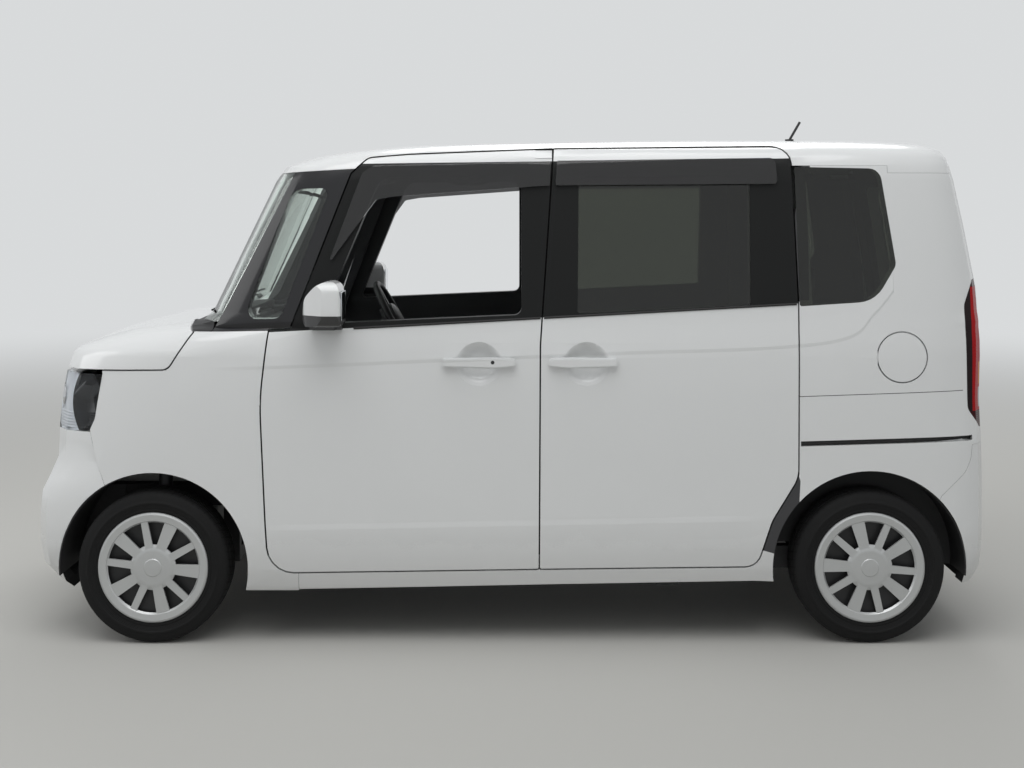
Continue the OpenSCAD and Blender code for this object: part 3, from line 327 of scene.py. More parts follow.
white_paint = paint("white_paint")
cabin_trim = new_finish("cabin_trim", (0.05, 0.05, 0.053), 0.7, grain=0.0012, tone=0.12, depth=0.00025)
headlining = new_finish("headlining", (0.42, 0.41, 0.39), 0.95, grain=0.0012, tone=0.08, depth=0.0004)
# Near-black backing: the unpainted backs of the bumpers, and painted shade in gaps and openings
unpainted_back = new_finish("unpainted_back", (0.012, 0.012, 0.013), 0.8, grain=0.003, tone=0.2)
finish_nodes(white_paint, "hood", "fuel_lid", "front_door_handle_left", "front_door_handle_right",
             "sliding_door_handles")
# The fenders' rear edge faces and a strip along the door hinge line take the backing as painted shade in the door
# gap
finish_nodes(white_paint, "front_fenders", lining=unpainted_back,
             inner=lambda normal, centre: faces_cabin(normal, centre) or normal.x < -0.9 and centre.x < 0.9
             or abs(centre.x - HINGE_X) < HINGE_HALF and HINGE_RISE[0] < centre.z < HINGE_RISE[1])
# Up-facing faces low in the front bumper's intake take the backing as painted shade in the opening
finish_nodes(white_paint, "front_bumper", lining=unpainted_back,
             inner=lambda normal, centre: normal.x < -0.15 or faces_cabin(normal, centre) or normal.z < -0.8
             or normal.z > 0.8 and centre.z < 0.45)
finish_nodes(white_paint, "rear_bumper", lining=unpainted_back,
             inner=lambda normal, centre: normal.x > 0.3 or faces_cabin(normal, centre) or normal.z < -0.8)
side_paint = paint("side_paint")
side_tree = side_paint.node_tree
_, (side_x, _, side_z) = position(side_paint)
behind_glass = reckon(side_tree, "MULTIPLY", reckon(side_tree, "GREATER_THAN", side_x, -1.07),
                      between(side_tree, side_z, 1.203, 1.692))
overlay(side_paint, behind_glass, flat_black, 0.6)
finish_nodes(side_paint, "body_sides", lining=cabin_trim,
             inner=lambda normal, centre: faces_cabin(normal, centre) or centre.x > -1.0195 and centre.z > 0.322)
finish_nodes(white_paint, "roof", lining=headlining, inner=lambda normal, centre: normal.z < -0.3)
finish_nodes(white_paint, "tailgate", lining=cabin_trim, inner=lambda normal, centre: normal.x > 0.5)

# Doors: steel shells in the body paint, with the window frames above the belt taped satin black and a
# grained plastic trim inside. The front pair is hinged, the rear pair runs on rails.
BELT_LINE = ((0.67, 1.104), (-1.02, 1.196))
TOP_LINE = ((0.50, 1.690), (-1.02, 1.709))
door_paint = paint("door_paint")
sash_tree = door_paint.node_tree
_, (sash_x, _, sash_z) = position(door_paint)
above_belt = reckon(sash_tree, "GREATER_THAN", line_offset(sash_tree, sash_x, sash_z, BELT_LINE), 0.0)
under_top = reckon(sash_tree, "LESS_THAN", line_offset(sash_tree, sash_x, sash_z, TOP_LINE), 0.0)
sash_mask = reckon(sash_tree, "MULTIPLY", above_belt, under_top)
overlay(door_paint, sash_mask, flat_black, 0.42)
sash_tree.links.new(reckon(sash_tree, "MULTIPLY_ADD", sash_mask, -lacquer, lacquer),
                    sash_tree.nodes["Principled BSDF"].inputs["Coat Weight"])
sash_tree.links.new(reckon(sash_tree, "MULTIPLY_ADD", sash_mask, -0.28, 0.5),
                    sash_tree.nodes["Principled BSDF"].inputs["Specular IOR Level"])
finish_nodes(door_paint, "front_door_left", "front_door_right", "sliding_doors", lining=cabin_trim,
             inner=faces_cabin)

# Belt mouldings: black rubber lips on a steel core, clipped along the foot of each side window, and a
# dark strip along the groove in which the sliding door's roller runs.
def lone(piece):
    bpy.ops.object.select_all(action="DESELECT")
    piece.select_set(True)
    bpy.context.view_layer.objects.active = piece


def close_mesh(piece):
    lone(piece)
    bpy.ops.object.mode_set(mode="EDIT")
    bpy.ops.mesh.select_all(action="SELECT")
    bpy.ops.mesh.remove_doubles(threshold=0.00002)
    bpy.ops.mesh.normals_make_consistent(inside=False)
    bpy.ops.object.mode_set(mode="OBJECT")


def fit(piece, name, finish, body, angle=32.0):
    piece.name = name
    piece.data.name = name
    piece.data.materials.clear()
    piece.data.materials.append(finish)
    lone(piece)
    bpy.ops.object.transform_apply(location=True, rotation=True, scale=True)
    bpy.ops.object.shade_smooth_by_angle(angle=math.radians(angle))
    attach(piece, body)
    return piece


def on_skin(node, start, direction):
    struck, spot, normal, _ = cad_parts[node].ray_cast(Vector(start), Vector(direction))
    if not struck:
        raise ValueError(f"nothing of {node} lies ahead of {start}")
    return spot, normal


def rod(points, radius, ring=2):
    path = bpy.data.curves.new("rod", "CURVE")
    path.dimensions = "3D"
    spline = path.splines.new("NURBS")
    spline.points.add(len(points) - 1)
    for knot, spot in zip(spline.points, points):
        knot.co = (*spot, 1)
    spline.order_u = min(3, len(points))
    spline.use_endpoint_u = True
    spline.resolution_u = 4
    path.bevel_depth = radius
    path.bevel_resolution = ring
    path.use_fill_caps = True
    piece = bpy.data.objects.new("rod", path)
    bpy.context.collection.objects.link(piece)
    lone(piece)
    bpy.ops.object.convert(target="MESH")
    piece = bpy.context.object
    close_mesh(piece)
    return piece


rubber_lip = new_finish("rubber_lip", (0.012, 0.012, 0.012), 0.6, grain=0.001, tone=0.15, depth=0.0001)
belt_slope = (BELT_LINE[1][1] - BELT_LINE[0][1]) / (BELT_LINE[1][0] - BELT_LINE[0][0])
GROOVE_LINE = ((-1.02, 0.705), (-1.624, 0.723))
RAIL_SPAN = (-1.029, -1.632)
groove_slope = (GROOVE_LINE[1][1] - GROOVE_LINE[0][1]) / (GROOVE_LINE[1][0] - GROOVE_LINE[0][0])
for side, hand in ((1, "left"), (-1, "right")):
    for door, strip_name, body, x_from, x_to in (
            ("front_door_" + hand, "belt_lip_front_" + hand, "door_" + hand, 0.545, -0.1125),
            ("sliding_doors", "belt_lip_rear_" + hand, "body", -0.1245, -1.0135)):
        lip_points = []
        for step in range(9):
            lip_x = x_from + (x_to - x_from) * step / 8
            lip_z = BELT_LINE[0][1] + belt_slope * (lip_x - BELT_LINE[0][0]) - 0.001
            spot = on_skin(door, (lip_x, 1.2 * side, lip_z), (0, -side, 0))[0]
            lip_points.append(spot + Vector((0, side * 0.0005, 0)))
        fit(rod(lip_points, 0.0045), strip_name, rubber_lip, body)
    rail_points = []
    for step in range(7):
        rail_x = RAIL_SPAN[0] + (RAIL_SPAN[1] - RAIL_SPAN[0]) * step / 6
        rail_z = GROOVE_LINE[0][1] + groove_slope * (rail_x - GROOVE_LINE[0][0])
        spot = on_skin("body_sides", (rail_x, 1.2 * side, rail_z), (0, -side, 0))[0]
        rail_points.append(spot + Vector((0, side * 0.001, 0)))
    fit(rod(rail_points, 0.0088), "slide_rail_" + hand, rubber_lip, "body")

# Door corner caps: small pressed steel end pieces in the body paint, welded over the relief in the top
# rear corner of each front door. They lean in with the skin above CAP_FOLD.
CAP_FOLD, CAP_LEAN = 1.7165, 0.92


def soft_block(low, high, round_r, steps=3):
    bpy.ops.object.select_all(action="DESELECT")
    bpy.ops.mesh.primitive_cube_add(size=1, location=[(a + b) / 2 for a, b in zip(low, high)])
    block = bpy.context.object
    block.scale = [b - a for a, b in zip(low, high)]
    bpy.ops.object.transform_apply(location=True, rotation=True, scale=True)
    bpy.ops.object.mode_set(mode="EDIT")
    bpy.ops.mesh.select_all(action="SELECT")
    bpy.ops.mesh.bevel(offset=round_r, segments=steps, profile=0.5, affect="EDGES")
    bpy.ops.object.mode_set(mode="OBJECT")
    return block


for side, hand in ((1, "left"), (-1, "right")):
    edges = sorted((0.615 * side, 0.6545 * side))
    corner_cap = soft_block((-0.1545, edges[0], 1.709), (-0.0945, edges[1], 1.7375), 0.001, 2)
    for vertex in corner_cap.data.vertices:
        vertex.co.y -= side * CAP_LEAN * (vertex.co.z - CAP_FOLD)
    fit(corner_cap, "door_corner_cap_" + hand, white_paint, "door_" + hand)

# Windscreen pillars and cowl: steel covered by black gloss garnishes, a moulded cowl with slots, and
# black moulded arch liners, stops and aerial.
black_gloss = new_finish("black_gloss", (0.012, 0.012, 0.014), 0.2, grain=0.003, tone=0.1, spread=0.04)
black_plastic = new_finish("black_plastic", (0.02, 0.02, 0.021), 0.58, grain=0.0012, tone=0.15, depth=0.0002)
finish_nodes(black_gloss, "front_pillars", lining=cabin_trim, inner=faces_cabin)
finish_nodes(black_plastic, "cowl", "wheel_liners", "door_stops", "antenna")

# Glass: laminated windscreen and clear quarter lights bonded in, with privacy glass from the sliding
# doors back. Smoked acrylic rain visors are stuck above the side windows.
clear_glass = new_finish("clear_glass", (0.9, 0.96, 0.92), 0.0, grain=0.05, tone=0.02, spread=0.0,
                         Transmission_Weight=1.0, IOR=1.45)
privacy_glass = new_finish("privacy_glass", (0.18, 0.195, 0.165), 0.0, grain=0.05, tone=0.02, spread=0.0,
                           Transmission_Weight=1.0, IOR=1.5)
smoked_acrylic = new_finish("smoked_acrylic", (0.12, 0.12, 0.122), 0.04, grain=0.05, tone=0.03, spread=0.01,
                            Transmission_Weight=0.85, IOR=1.49)
finish_nodes(clear_glass, "windscreen", "front_quarter_glass")
finish_nodes(privacy_glass, "rear_quarter_glass", "sliding_door_glass", "tailgate_glass")
finish_nodes(smoked_acrylic, "sliding_door_visors", "front_door_visor_left", "front_door_visor_right")

# Wipers: pressed steel arms in black paint with rubber blades, two on the windscreen and one on the
# tailgate glass, each on a spindle with a round cap.
def turned(profile, centre, axis, steps=40):
    axis = Vector(axis).normalized()
    across = axis.orthogonal().normalized()
    corners = [Vector(centre) + axis * along + across * radius for along, radius in profile]
    mesh = bpy.data.meshes.new("turned")
    mesh.from_pydata(corners, [(i, i + 1) for i in range(len(corners) - 1)], [])
    piece = bpy.data.objects.new("turned", mesh)
    bpy.context.collection.objects.link(piece)
    lone(piece)
    bpy.ops.object.mode_set(mode="EDIT")
    bpy.ops.mesh.select_all(action="SELECT")
    bpy.ops.mesh.spin(steps=steps, angle=math.tau, center=Vector(centre), axis=axis)
    bpy.ops.object.mode_set(mode="OBJECT")
    close_mesh(piece)
    return piece


def join(pieces):
    bpy.ops.object.select_all(action="DESELECT")
    for piece in pieces:
        piece.select_set(True)
    bpy.context.view_layer.objects.active = pieces[0]
    bpy.ops.object.join()
    return bpy.context.object


def wiper(name, pane, pivot, tip, blade_from, blade_to, outward, clear, body):
    def lifted(y, z, rise):
        spot, normal = on_skin(pane, (3 * outward, y, z), (-outward, 0, 0))
        return spot + normal * rise
    arm = rod([lifted(*pivot, clear + 0.004), lifted(*[(a + b) / 2 for a, b in zip(pivot, tip)], clear + 0.007),
               lifted(*tip, clear + 0.004)], 0.0045)
    blade = rod([lifted(*[a + (b - a) * i / 6 for a, b in zip(blade_from, blade_to)], clear - 0.001)
                 for i in range(7)], 0.004)
    spot, normal = on_skin(pane, (3 * outward, *pivot), (-outward, 0, 0))
    cap = turned([(-0.004, 0.0), (-0.004, 0.011), (clear + 0.004, 0.011), (clear + 0.008, 0.007),
                  (clear + 0.009, 0.0)], spot, normal, 24)
    return fit(join([arm, blade, cap]), name, black_plastic, body)


wiper("wiper_right", "windscreen", (-0.50, 1.142), (-0.16, 1.172), (-0.46, 1.178), (0.10, 1.168), 1, 0.007, "body")
wiper("wiper_left", "windscreen", (0.02, 1.142), (0.36, 1.165), (0.14, 1.172), (0.56, 1.158), 1, 0.007, "body")
wiper("wiper_rear", "tailgate_glass", (0.0, 1.212), (-0.23, 1.232), (-0.05, 1.236), (-0.38, 1.226), -1, 0.006,
      "rear_gate")

# Grille and lower intake: a satin black moulding with a bright strip along its top edge, clipped between
# the headlamps. The intake in the bumper has three slats that follow the curve of the nose, and
# moulded air guides on the side members close the space behind it.
grille_black = new_finish("grille_black", (0.025, 0.025, 0.027), 0.32, grain=0.002, tone=0.1, depth=0.0001)
bright_trim = new_finish("bright_trim", (0.62, 0.63, 0.64), 0.16, grain=0.004, tone=0.05, Metallic=1.0)
finish_nodes(grille_black, "grille")
nose_points = [on_skin("front_bumper", (3, 0.42 * (i / 5 - 1), 0.47), (-1, 0, 0))[0] for i in range(11)]
slats = [rod([Vector((p.x - 0.024, p.y, level)) for p in nose_points], 0.008)
         for level in (0.332, 0.365, 0.398)]
fit(join(slats), "intake_slats", grille_black, "body")
GUIDE_INNER, GUIDE_OUTER = 0.4058, 0.4088
air_guides = []
for side in (1, -1):
    edges = sorted((GUIDE_INNER * side, GUIDE_OUTER * side))
    air_guides.append(soft_block((1.43, edges[0], 0.245), (1.585, edges[1], 0.50), 0.0008, 2))
fit(join(air_guides), "air_guides", black_plastic, "body")
brow_points = [on_skin("grille", (3, 0.41 * (i / 5 - 1), 0.94), (-1, 0, 0))[0] for i in range(11)]
fit(rod([p + Vector((0.001, 0, 0)) for p in brow_points], 0.0045), "grille_brow", bright_trim, "body")

# Tailgate grip: a moulded bar in gloss black, hollow below for the fingers, clipped to the tailgate's
# outer skin under the rear window.
def sink_face(block, normal, border, depth):
    lone(block)
    for face in block.data.polygons:
        face.select = False
    bpy.ops.object.mode_set(mode="EDIT")
    bpy.ops.mesh.select_all(action="DESELECT")
    bpy.ops.object.mode_set(mode="OBJECT")
    best = max(block.data.polygons, key=lambda face: face.area * max(0.0, face.normal.dot(Vector(normal))))
    best.select = True
    bpy.ops.object.mode_set(mode="EDIT")
    bpy.ops.mesh.inset(thickness=border)
    bpy.ops.transform.translate(value=Vector(normal) * -depth)
    bpy.ops.object.mode_set(mode="OBJECT")
    return block


gate_grip = soft_block((-1.6968, -0.27, 0.872), (-1.685, 0.27, 0.928), 0.005)
fit(sink_face(gate_grip, (0, 0, -1), 0.0022, 0.012), "tailgate_grip", black_gloss, "rear_gate")

# Headlamps: clear polycarbonate lenses over a moulded bezel, silvered and ribbed to the front and black to the side,
# with a projector in a bright ring. The silvered front is a pale blue-white colour with its highlight painted in.
# The bezel sits inside the lens.
def skin_shell(node, keep, inset, thickness):
    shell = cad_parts[node].copy()
    shell.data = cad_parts[node].data.copy()
    shell.modifiers.clear()
    bpy.context.collection.objects.link(shell)
    lone(shell)
    bpy.ops.object.mode_set(mode="EDIT")
    bpy.ops.mesh.select_all(action="SELECT")
    bpy.ops.mesh.remove_doubles(threshold=0.00005)
    bpy.ops.mesh.select_all(action="DESELECT")
    bpy.ops.object.mode_set(mode="OBJECT")
    for face in shell.data.polygons:
        face.select = not keep(face.normal, face.center)
    bpy.ops.object.mode_set(mode="EDIT")
    bpy.ops.mesh.delete(type="FACE")
    bpy.ops.mesh.select_all(action="SELECT")
    bpy.ops.transform.shrink_fatten(value=-inset)
    bpy.ops.object.mode_set(mode="OBJECT")
    solid = shell.modifiers.new("solid", "SOLIDIFY")
    solid.thickness = thickness
    solid.offset = -1.0
    bpy.ops.object.modifier_apply(modifier="solid")
    return shell


lamp_lens = new_finish("lamp_lens", (0.93, 0.95, 0.96), 0.0, grain=0.03, tone=0.02, spread=0.0,
                       Transmission_Weight=1.0, IOR=1.3)
finish_nodes(lamp_lens, "headlamps")
lamp_bezel = new_finish("lamp_bezel", (0.014, 0.015, 0.017), 0.22, grain=0.004, tone=0.15)
_, (bezel_x, _, bezel_z) = position(lamp_bezel)
bezel_tree = lamp_bezel.node_tree
bezel_rise = reckon(bezel_tree, "SUBTRACT", bezel_z, 0.845)
bright_edge = reckon(bezel_tree, "MULTIPLY_ADD", reckon(bezel_tree, "MULTIPLY", bezel_rise, bezel_rise),
                     -2.9, 1.553)
# Painted highlight: the silvered front of the bezel takes a pale blue-white colour
overlay(lamp_bezel, reckon(bezel_tree, "GREATER_THAN", bezel_x, bright_edge), (0.78, 0.81, 0.86), 0.18)
bezel_ribs = add_node(bezel_tree, "ShaderNodeBump", None, Distance=0.0008, Height=reckon(
    bezel_tree, "MULTIPLY", reckon(bezel_tree, "SINE", reckon(bezel_tree, "MULTIPLY", bezel_z, 620.0)),
    reckon(bezel_tree, "LESS_THAN", bezel_z, 0.81)))
bezel_tree.links.new(bezel_ribs.outputs[0], bezel_tree.nodes["Principled BSDF"].inputs["Normal"])
bezel = skin_shell("headlamps", lambda n, c: n.x > 0.3 or n.y * math.copysign(1.0, c.y) > 0.3, 0.012, 0.004)
fit(bezel, "headlamp_bezels", lamp_bezel, "body")
lamp_lights = []
for side in (1, -1):
    lamp_spot = on_skin("headlamps", (3, 0.555 * side, 0.850), (-1, 0, 0))[0]
    seat = lamp_spot - Vector((0.014, 0, 0))
    lamp_lights.append(turned([(-0.006, 0.047), (0.004, 0.046), (0.006, 0.041), (0.002, 0.037), (0.001, 0.034),
                               (0.005, 0.024), (0.008, 0.012), (0.009, 0.0)], seat, (1, 0, 0), 48))
fit(join(lamp_lights), "headlamp_projectors", bright_trim, "body")

# Tail lamps: tall red acrylic lenses wrapped round the corner, with a smoked band toward the side, an
# amber turn lamp and a clear reversing lamp low on the rear face, and fine prisms moulded inside. A high
# stop lamp is let into the tailgate, and two reflectors are stuck to the bumper.
red_lens = new_finish("red_lens", (0.42, 0.012, 0.014), 0.3, grain=0.01, tone=0.12, Specular_IOR_Level=0.08)
lens_tree = red_lens.node_tree
_, (lens_x, _, lens_z) = position(red_lens)
smoked_side = reckon(lens_tree, "GREATER_THAN", lens_x, -1.64)
overlay(red_lens, smoked_side, (0.02, 0.012, 0.013), 0.1)
lens_ends = reckon(lens_tree, "SUBTRACT", 1.0, between(lens_tree, lens_z, 0.815, 1.252))
overlay(red_lens, lens_ends, (0.05, 0.008, 0.01), 0.1)
rear_facing = reckon(lens_tree, "LESS_THAN", lens_x, -1.672)
for low, high, colour in ((0.905, 0.985, (0.62, 0.2, 0.02)), (0.825, 0.895, (0.6, 0.6, 0.6))):
    window = reckon(lens_tree, "MULTIPLY", rear_facing, between(lens_tree, lens_z, low, high))
    overlay(red_lens, window, colour, 0.1)
prisms = reckon(lens_tree, "SINE", reckon(lens_tree, "MULTIPLY", lens_z, 900.0))
prism_bump = add_node(lens_tree, "ShaderNodeBump", None, Distance=0.0002, Height=prisms)
lens_tree.links.new(prism_bump.outputs[0], lens_tree.nodes["Principled BSDF"].inputs["Normal"])
finish_nodes(red_lens, "tail_lamps")
stop_lens = new_finish("stop_lens", (0.36, 0.01, 0.012), 0.1, grain=0.004, tone=0.1, Coat_Weight=0.4)
stop_spot = on_skin("tailgate", (-3, 0, 1.655), (1, 0, 0))[0]
high_stop = soft_block((stop_spot.x - 0.004, -0.13, 1.642), (stop_spot.x + 0.02, 0.13, 1.668), 0.003)
fit(sink_face(high_stop, (-1, 0, 0), 0.004, 0.001), "high_stop_lamp", stop_lens, "rear_gate")
reflectors = []
for side in (1, -1):
    pad_spot = on_skin("rear_bumper", (-3, 0.49 * side, 0.365), (1, 0, 0))[0]
    pad = soft_block((pad_spot.x - 0.0012, 0.53 * side - 0.04, 0.35),
                     (pad_spot.x + 0.014, 0.53 * side + 0.04, 0.38), 0.0005)
    reflectors.append(sink_face(pad, (-1, 0, 0), 0.004, 0.0005))
fit(join(reflectors), "bumper_reflectors", stop_lens, "body")

# Door mirrors: white caps over black moulded housings and feet, bolted to the doors, with a silvered
# glass let into the rear opening.
mirror_shell = paint("mirror_shell")
_, (_, _, mirror_z) = position(mirror_shell)
overlay(mirror_shell, reckon(mirror_shell.node_tree, "LESS_THAN", mirror_z, 1.166), (0.015, 0.015, 0.016), 0.45)
finish_nodes(mirror_shell, "door_mirror_left", "door_mirror_right")
silvered_glass = new_finish("silvered_glass", (0.7, 0.72, 0.75), 0.03, grain=0.02, tone=0.02, spread=0.01,
                            Metallic=1.0)
for hand in ("left", "right"):
    low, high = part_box("door_mirror_" + hand)
    y_low, y_high = sorted((abs(low[1]), abs(high[1])))
    flip = 1 if hand == "left" else -1
    edges = sorted((flip * (y_low + 0.062), flip * (y_high - 0.026)))
    pane = soft_block((low[0] - 0.0012, edges[0], 1.150), (low[0] + 0.002, edges[1], 1.248), 0.0009)
    lone(pane)
    corners = pane.modifiers.new("corners", "BEVEL")
    corners.width = 0.0004
    bpy.ops.object.modifier_apply(modifier="corners")
    fit(sink_face(pane, (-1, 0, 0), 0.003, 0.0004), "mirror_glass_" + hand, silvered_glass, "door_" + hand)

# Door handle locks: a small dark cap over the key barrel, moulded in plastic and pressed into each front
# handle.
for side, hand in ((1, "left"), (-1, "right")):
    cap_spot = on_skin("front_door_handle_" + hand, (0.056, 1.2 * side, 0.993), (0, -side, 0))[0]
    cap = turned([(-0.002, 0.0), (-0.002, 0.0065), (0.0006, 0.0065), (0.001, 0.005), (0.0004, 0.003),
                  (0.0004, 0.0)], cap_spot, (0, side, 0), 24)
    fit(cap, "handle_lock_" + hand, black_plastic, "door_" + hand)

# Dashboard: a grained moulding across the cabin with a hooded instrument pod before the driver, a centre
# screen, four outlets, a glove box lid and a selector lever.
cabin_plastic = new_finish("cabin_plastic", (0.032, 0.032, 0.034), 0.62, grain=0.0011, tone=0.12, depth=0.0003)
screen_glass = new_finish("screen_glass", (0.008, 0.009, 0.011), 0.08, grain=0.01, tone=0.1, spread=0.02)
finish_nodes(cabin_plastic, "dashboard")
pod = soft_block((0.752, -0.50, 1.02), (0.900, -0.18, 1.128), 0.03, 4)
fit(sink_face(pod, (-1, 0, 0), 0.014, 0.03), "instrument_pod", cabin_plastic, "body")
screen = soft_block((0.738, -0.125, 0.915), (0.80, 0.125, 1.055), 0.008)
fit(sink_face(screen, (-1, 0, 0), 0.012, 0.003), "centre_screen", screen_glass, "body")
outlets = []
for outlet_y in (-0.515, -0.165, 0.165, 0.515):
    outlet = soft_block((0.742, outlet_y - 0.036, 0.935), (0.80, outlet_y + 0.036, 1.005), 0.006)
    outlets.append(sink_face(outlet, (-1, 0, 0), 0.005, 0.012))
    for vane in range(4):
        vane_z = 0.948 + 0.0145 * vane
        outlets.append(soft_block((0.746, outlet_y - 0.030, vane_z),
                                  (0.757, outlet_y + 0.030, vane_z + 0.003), 0.001, 1))
fit(join(outlets), "air_outlets", cabin_plastic, "body")
glove_lid = soft_block((0.748, 0.14, 0.80), (0.80, 0.52, 0.90), 0.01)
fit(sink_face(glove_lid, (-1, 0, 0), 0.016, 0.002), "glove_box_lid", cabin_plastic, "body")
lever = join([rod([(0.76, -0.11, 0.84), (0.71, -0.11, 0.87), (0.685, -0.11, 0.905)], 0.008),
              turned([(-0.03, 0.0), (-0.03, 0.012), (-0.01, 0.019), (0.012, 0.019), (0.024, 0.012), (0.026, 0.0)],
                     (0.68, -0.11, 0.915), (-0.3, 0, 1), 24)])
fit(lever, "selector_lever", cabin_plastic, "body")

# Steering wheel: a foam rim on a steel core with a padded centre cover, and two control stalks on the
# column behind it.
wheel_foam = new_finish("wheel_foam", (0.022, 0.022, 0.023), 0.55, grain=0.0009, tone=0.12, depth=0.0003)
finish_nodes(wheel_foam, "steering_wheel")
RAKE = math.radians(28.0)
wheel_centre = Vector((0.5105, -0.34, 1.04))
to_driver = Vector((-math.cos(RAKE), 0, math.sin(RAKE)))
horn_pad = turned([(-0.002, 0.072), (0.006, 0.070), (0.014, 0.060), (0.019, 0.040), (0.021, 0.018), (0.021, 0.0)],
                  wheel_centre + to_driver * 0.040, to_driver, 40)
fit(horn_pad, "horn_pad", wheel_foam, "steering")
stalks = []
for reach in (-1, 1):
    root = wheel_centre - to_driver * 0.06
    stalks.append(rod([root + Vector((0, 0.02 * reach, 0)), root + Vector((-0.005, 0.10 * reach, 0.012)),
                       root + Vector((-0.012, 0.165 * reach, 0.022))], 0.008))
fit(join(stalks), "column_stalks", cabin_plastic, "body")

# Cabin fittings: folding sun visors, an inner mirror on a stalk, grab handles, and arm rests with
# pulls on the door trims.
visor_cloth = new_finish("visor_cloth", (0.36, 0.355, 0.34), 0.9, grain=0.001, tone=0.08, depth=0.0002)
for side, hand in ((1, "left"), (-1, "right")):
    edges = sorted((0.10 * side, 0.50 * side))
    visor = soft_block((0.50, edges[0], 1.632), (0.665, edges[1], 1.650), 0.008)
    fit(sink_face(visor, (0, 0, -1), 0.012, 0.002), "sun_visor_" + hand, visor_cloth, "body")
    grab = rod([(x, 0.585 * side + inset * side, z) for x, inset, z in (
        (0.28, 0.012, 1.672), (0.27, -0.03, 1.640), (0.18, -0.04, 1.632), (0.09, -0.03, 1.640),
        (0.08, 0.012, 1.672))], 0.009)
    fit(grab, "grab_handle_" + hand, cabin_plastic, "body")
    trim_spot = on_skin("front_door_" + hand, (0.30, 0.2 * side, 0.80), (0, side, 0))[0]
    rest_edges = sorted((trim_spot.y - 0.052 * side, trim_spot.y - 0.0005 * side))
    rest = soft_block((0.10, rest_edges[0], 0.765), (0.56, rest_edges[1], 0.815), 0.014, 4)
    fit(sink_face(rest, (0, 0, 1), 0.012, 0.006), "door_arm_rest_" + hand, cabin_trim, "door_" + hand)
    pull_spot = on_skin("front_door_" + hand, (0.56, 0.2 * side, 0.93), (0, side, 0))[0]
    pull_edges = sorted((pull_spot.y - 0.014 * side, pull_spot.y - 0.0004 * side))
    pull = soft_block((0.50, pull_edges[0], 0.905), (0.62, pull_edges[1], 0.955), 0.006)
    fit(sink_face(pull, (0, -side, 0), 0.01, 0.006), "door_pull_" + hand, bright_trim, "door_" + hand)
inner_mirror = soft_block((0.690, -0.115, 1.512), (0.712, 0.115, 1.572), 0.009, 4)
inner_mirror = sink_face(inner_mirror, (-1, 0, 0), 0.006, 0.001)
stem_spot = on_skin("windscreen", (0.2, 0, 1.60), (1, 0, 0))[0]
stem = rod([(0.712, 0, 1.545), (0.74, 0, 1.585), stem_spot - Vector((0.0008, 0, 0))], 0.007)
fit(join([inner_mirror, stem]), "inner_mirror", black_gloss, "body")

# Seats: foam pads on steel pans in woven dark cloth, sewn in three panels with piped bolsters, on black
# moulded bases and runners. The rear one is a bench with two head rests.
seat_cloth = new_finish("seat_cloth", (0.075, 0.075, 0.08), 0.92, grain=0.004, tone=0.2, Sheen_Weight=0.35)
cloth_tree = seat_cloth.node_tree
_, (cloth_x, cloth_y, cloth_z) = position(seat_cloth)
weave_scale = 1400.0
weft = reckon(cloth_tree, "SINE", reckon(cloth_tree, "MULTIPLY", cloth_y, weave_scale))
warp = reckon(cloth_tree, "SINE", reckon(cloth_tree, "MULTIPLY", reckon(cloth_tree, "ADD", cloth_x, cloth_z),
                                         weave_scale))
weave_bump = add_node(cloth_tree, "ShaderNodeBump", None, Distance=0.0004,
                      Height=reckon(cloth_tree, "MULTIPLY", weft, warp))
cloth_tree.links.new(weave_bump.outputs[0], cloth_tree.nodes["Principled BSDF"].inputs["Normal"])
CLOTH_STEPS, CLOTH_PRESSURE, SWELL_CAP = 20, 4.0, 0.022
SEAM_WIDTH, SEAM_DEPTH = 0.007, 0.0065
UP, FORWARD = (0, 0, 1), (1, 0, 0)


def lean(piece, pivot, degrees):
    piece.data.transform(Matrix.Translation(pivot) @ Matrix.Rotation(math.radians(degrees), 4, "Y")
                         @ Matrix.Translation(-Vector(pivot)))
    return piece


def upholster(pad, voxel, seams):
    lone(pad)
    pad.data.remesh_voxel_size = voxel
    bpy.ops.object.voxel_remesh()
    start = [v.co.copy() for v in pad.data.vertices]
    cloth = pad.modifiers.new("cloth", "CLOTH")
    cloth.settings.use_pressure = True
    cloth.settings.uniform_pressure_force = CLOTH_PRESSURE
    cloth.settings.effector_weights.gravity = 0.0
    for step in range(1, CLOTH_STEPS + 1):
        bpy.context.scene.frame_set(step)
    bpy.ops.object.modifier_apply(modifier="cloth")
    bpy.context.scene.frame_set(1)
    for vertex, was in zip(pad.data.vertices, start):
        move = vertex.co - was
        if move.length > SWELL_CAP:
            vertex.co = was + move.normalized() * SWELL_CAP
    # Sewn seams draw the cover down along planes through the pad
    for vertex in pad.data.vertices:
        for axis, level, facing in seams:
            near = (vertex.co[axis] - level) / SEAM_WIDTH
            if abs(near) < 3.0 and vertex.normal.dot(Vector(facing)) > 0.3:
                vertex.co -= vertex.normal * SEAM_DEPTH * math.exp(-near * near)
    smooth = pad.modifiers.new("smooth", "SUBSURF")
    smooth.levels = smooth.render_levels = 1
    bpy.ops.object.modifier_apply(modifier="smooth")
    return pad


def mirrored(piece, name):
    twin = piece.copy()
    twin.data = piece.data.copy()
    bpy.context.collection.objects.link(twin)
    twin.data.transform(Matrix.Scale(-1, 4, (0, 1, 0)))
    close_mesh(twin)
    twin.name = twin.data.name = name
    return twin


LEAN, REST_LEAN = -14.0, -6.0
front_cushion = soft_block((-0.105, 0.112, 0.425), (0.318, 0.574, 0.612), 0.035)
front_back = lean(soft_block((-0.118, 0.112, 0.585), (-0.012, 0.574, 1.105), 0.032), (-0.07, 0, 0.56), LEAN)
front_rest = lean(soft_block((-0.238, 0.235, 1.165), (-0.165, 0.455, 1.318), 0.03), (-0.2, 0, 1.24), REST_LEAN)
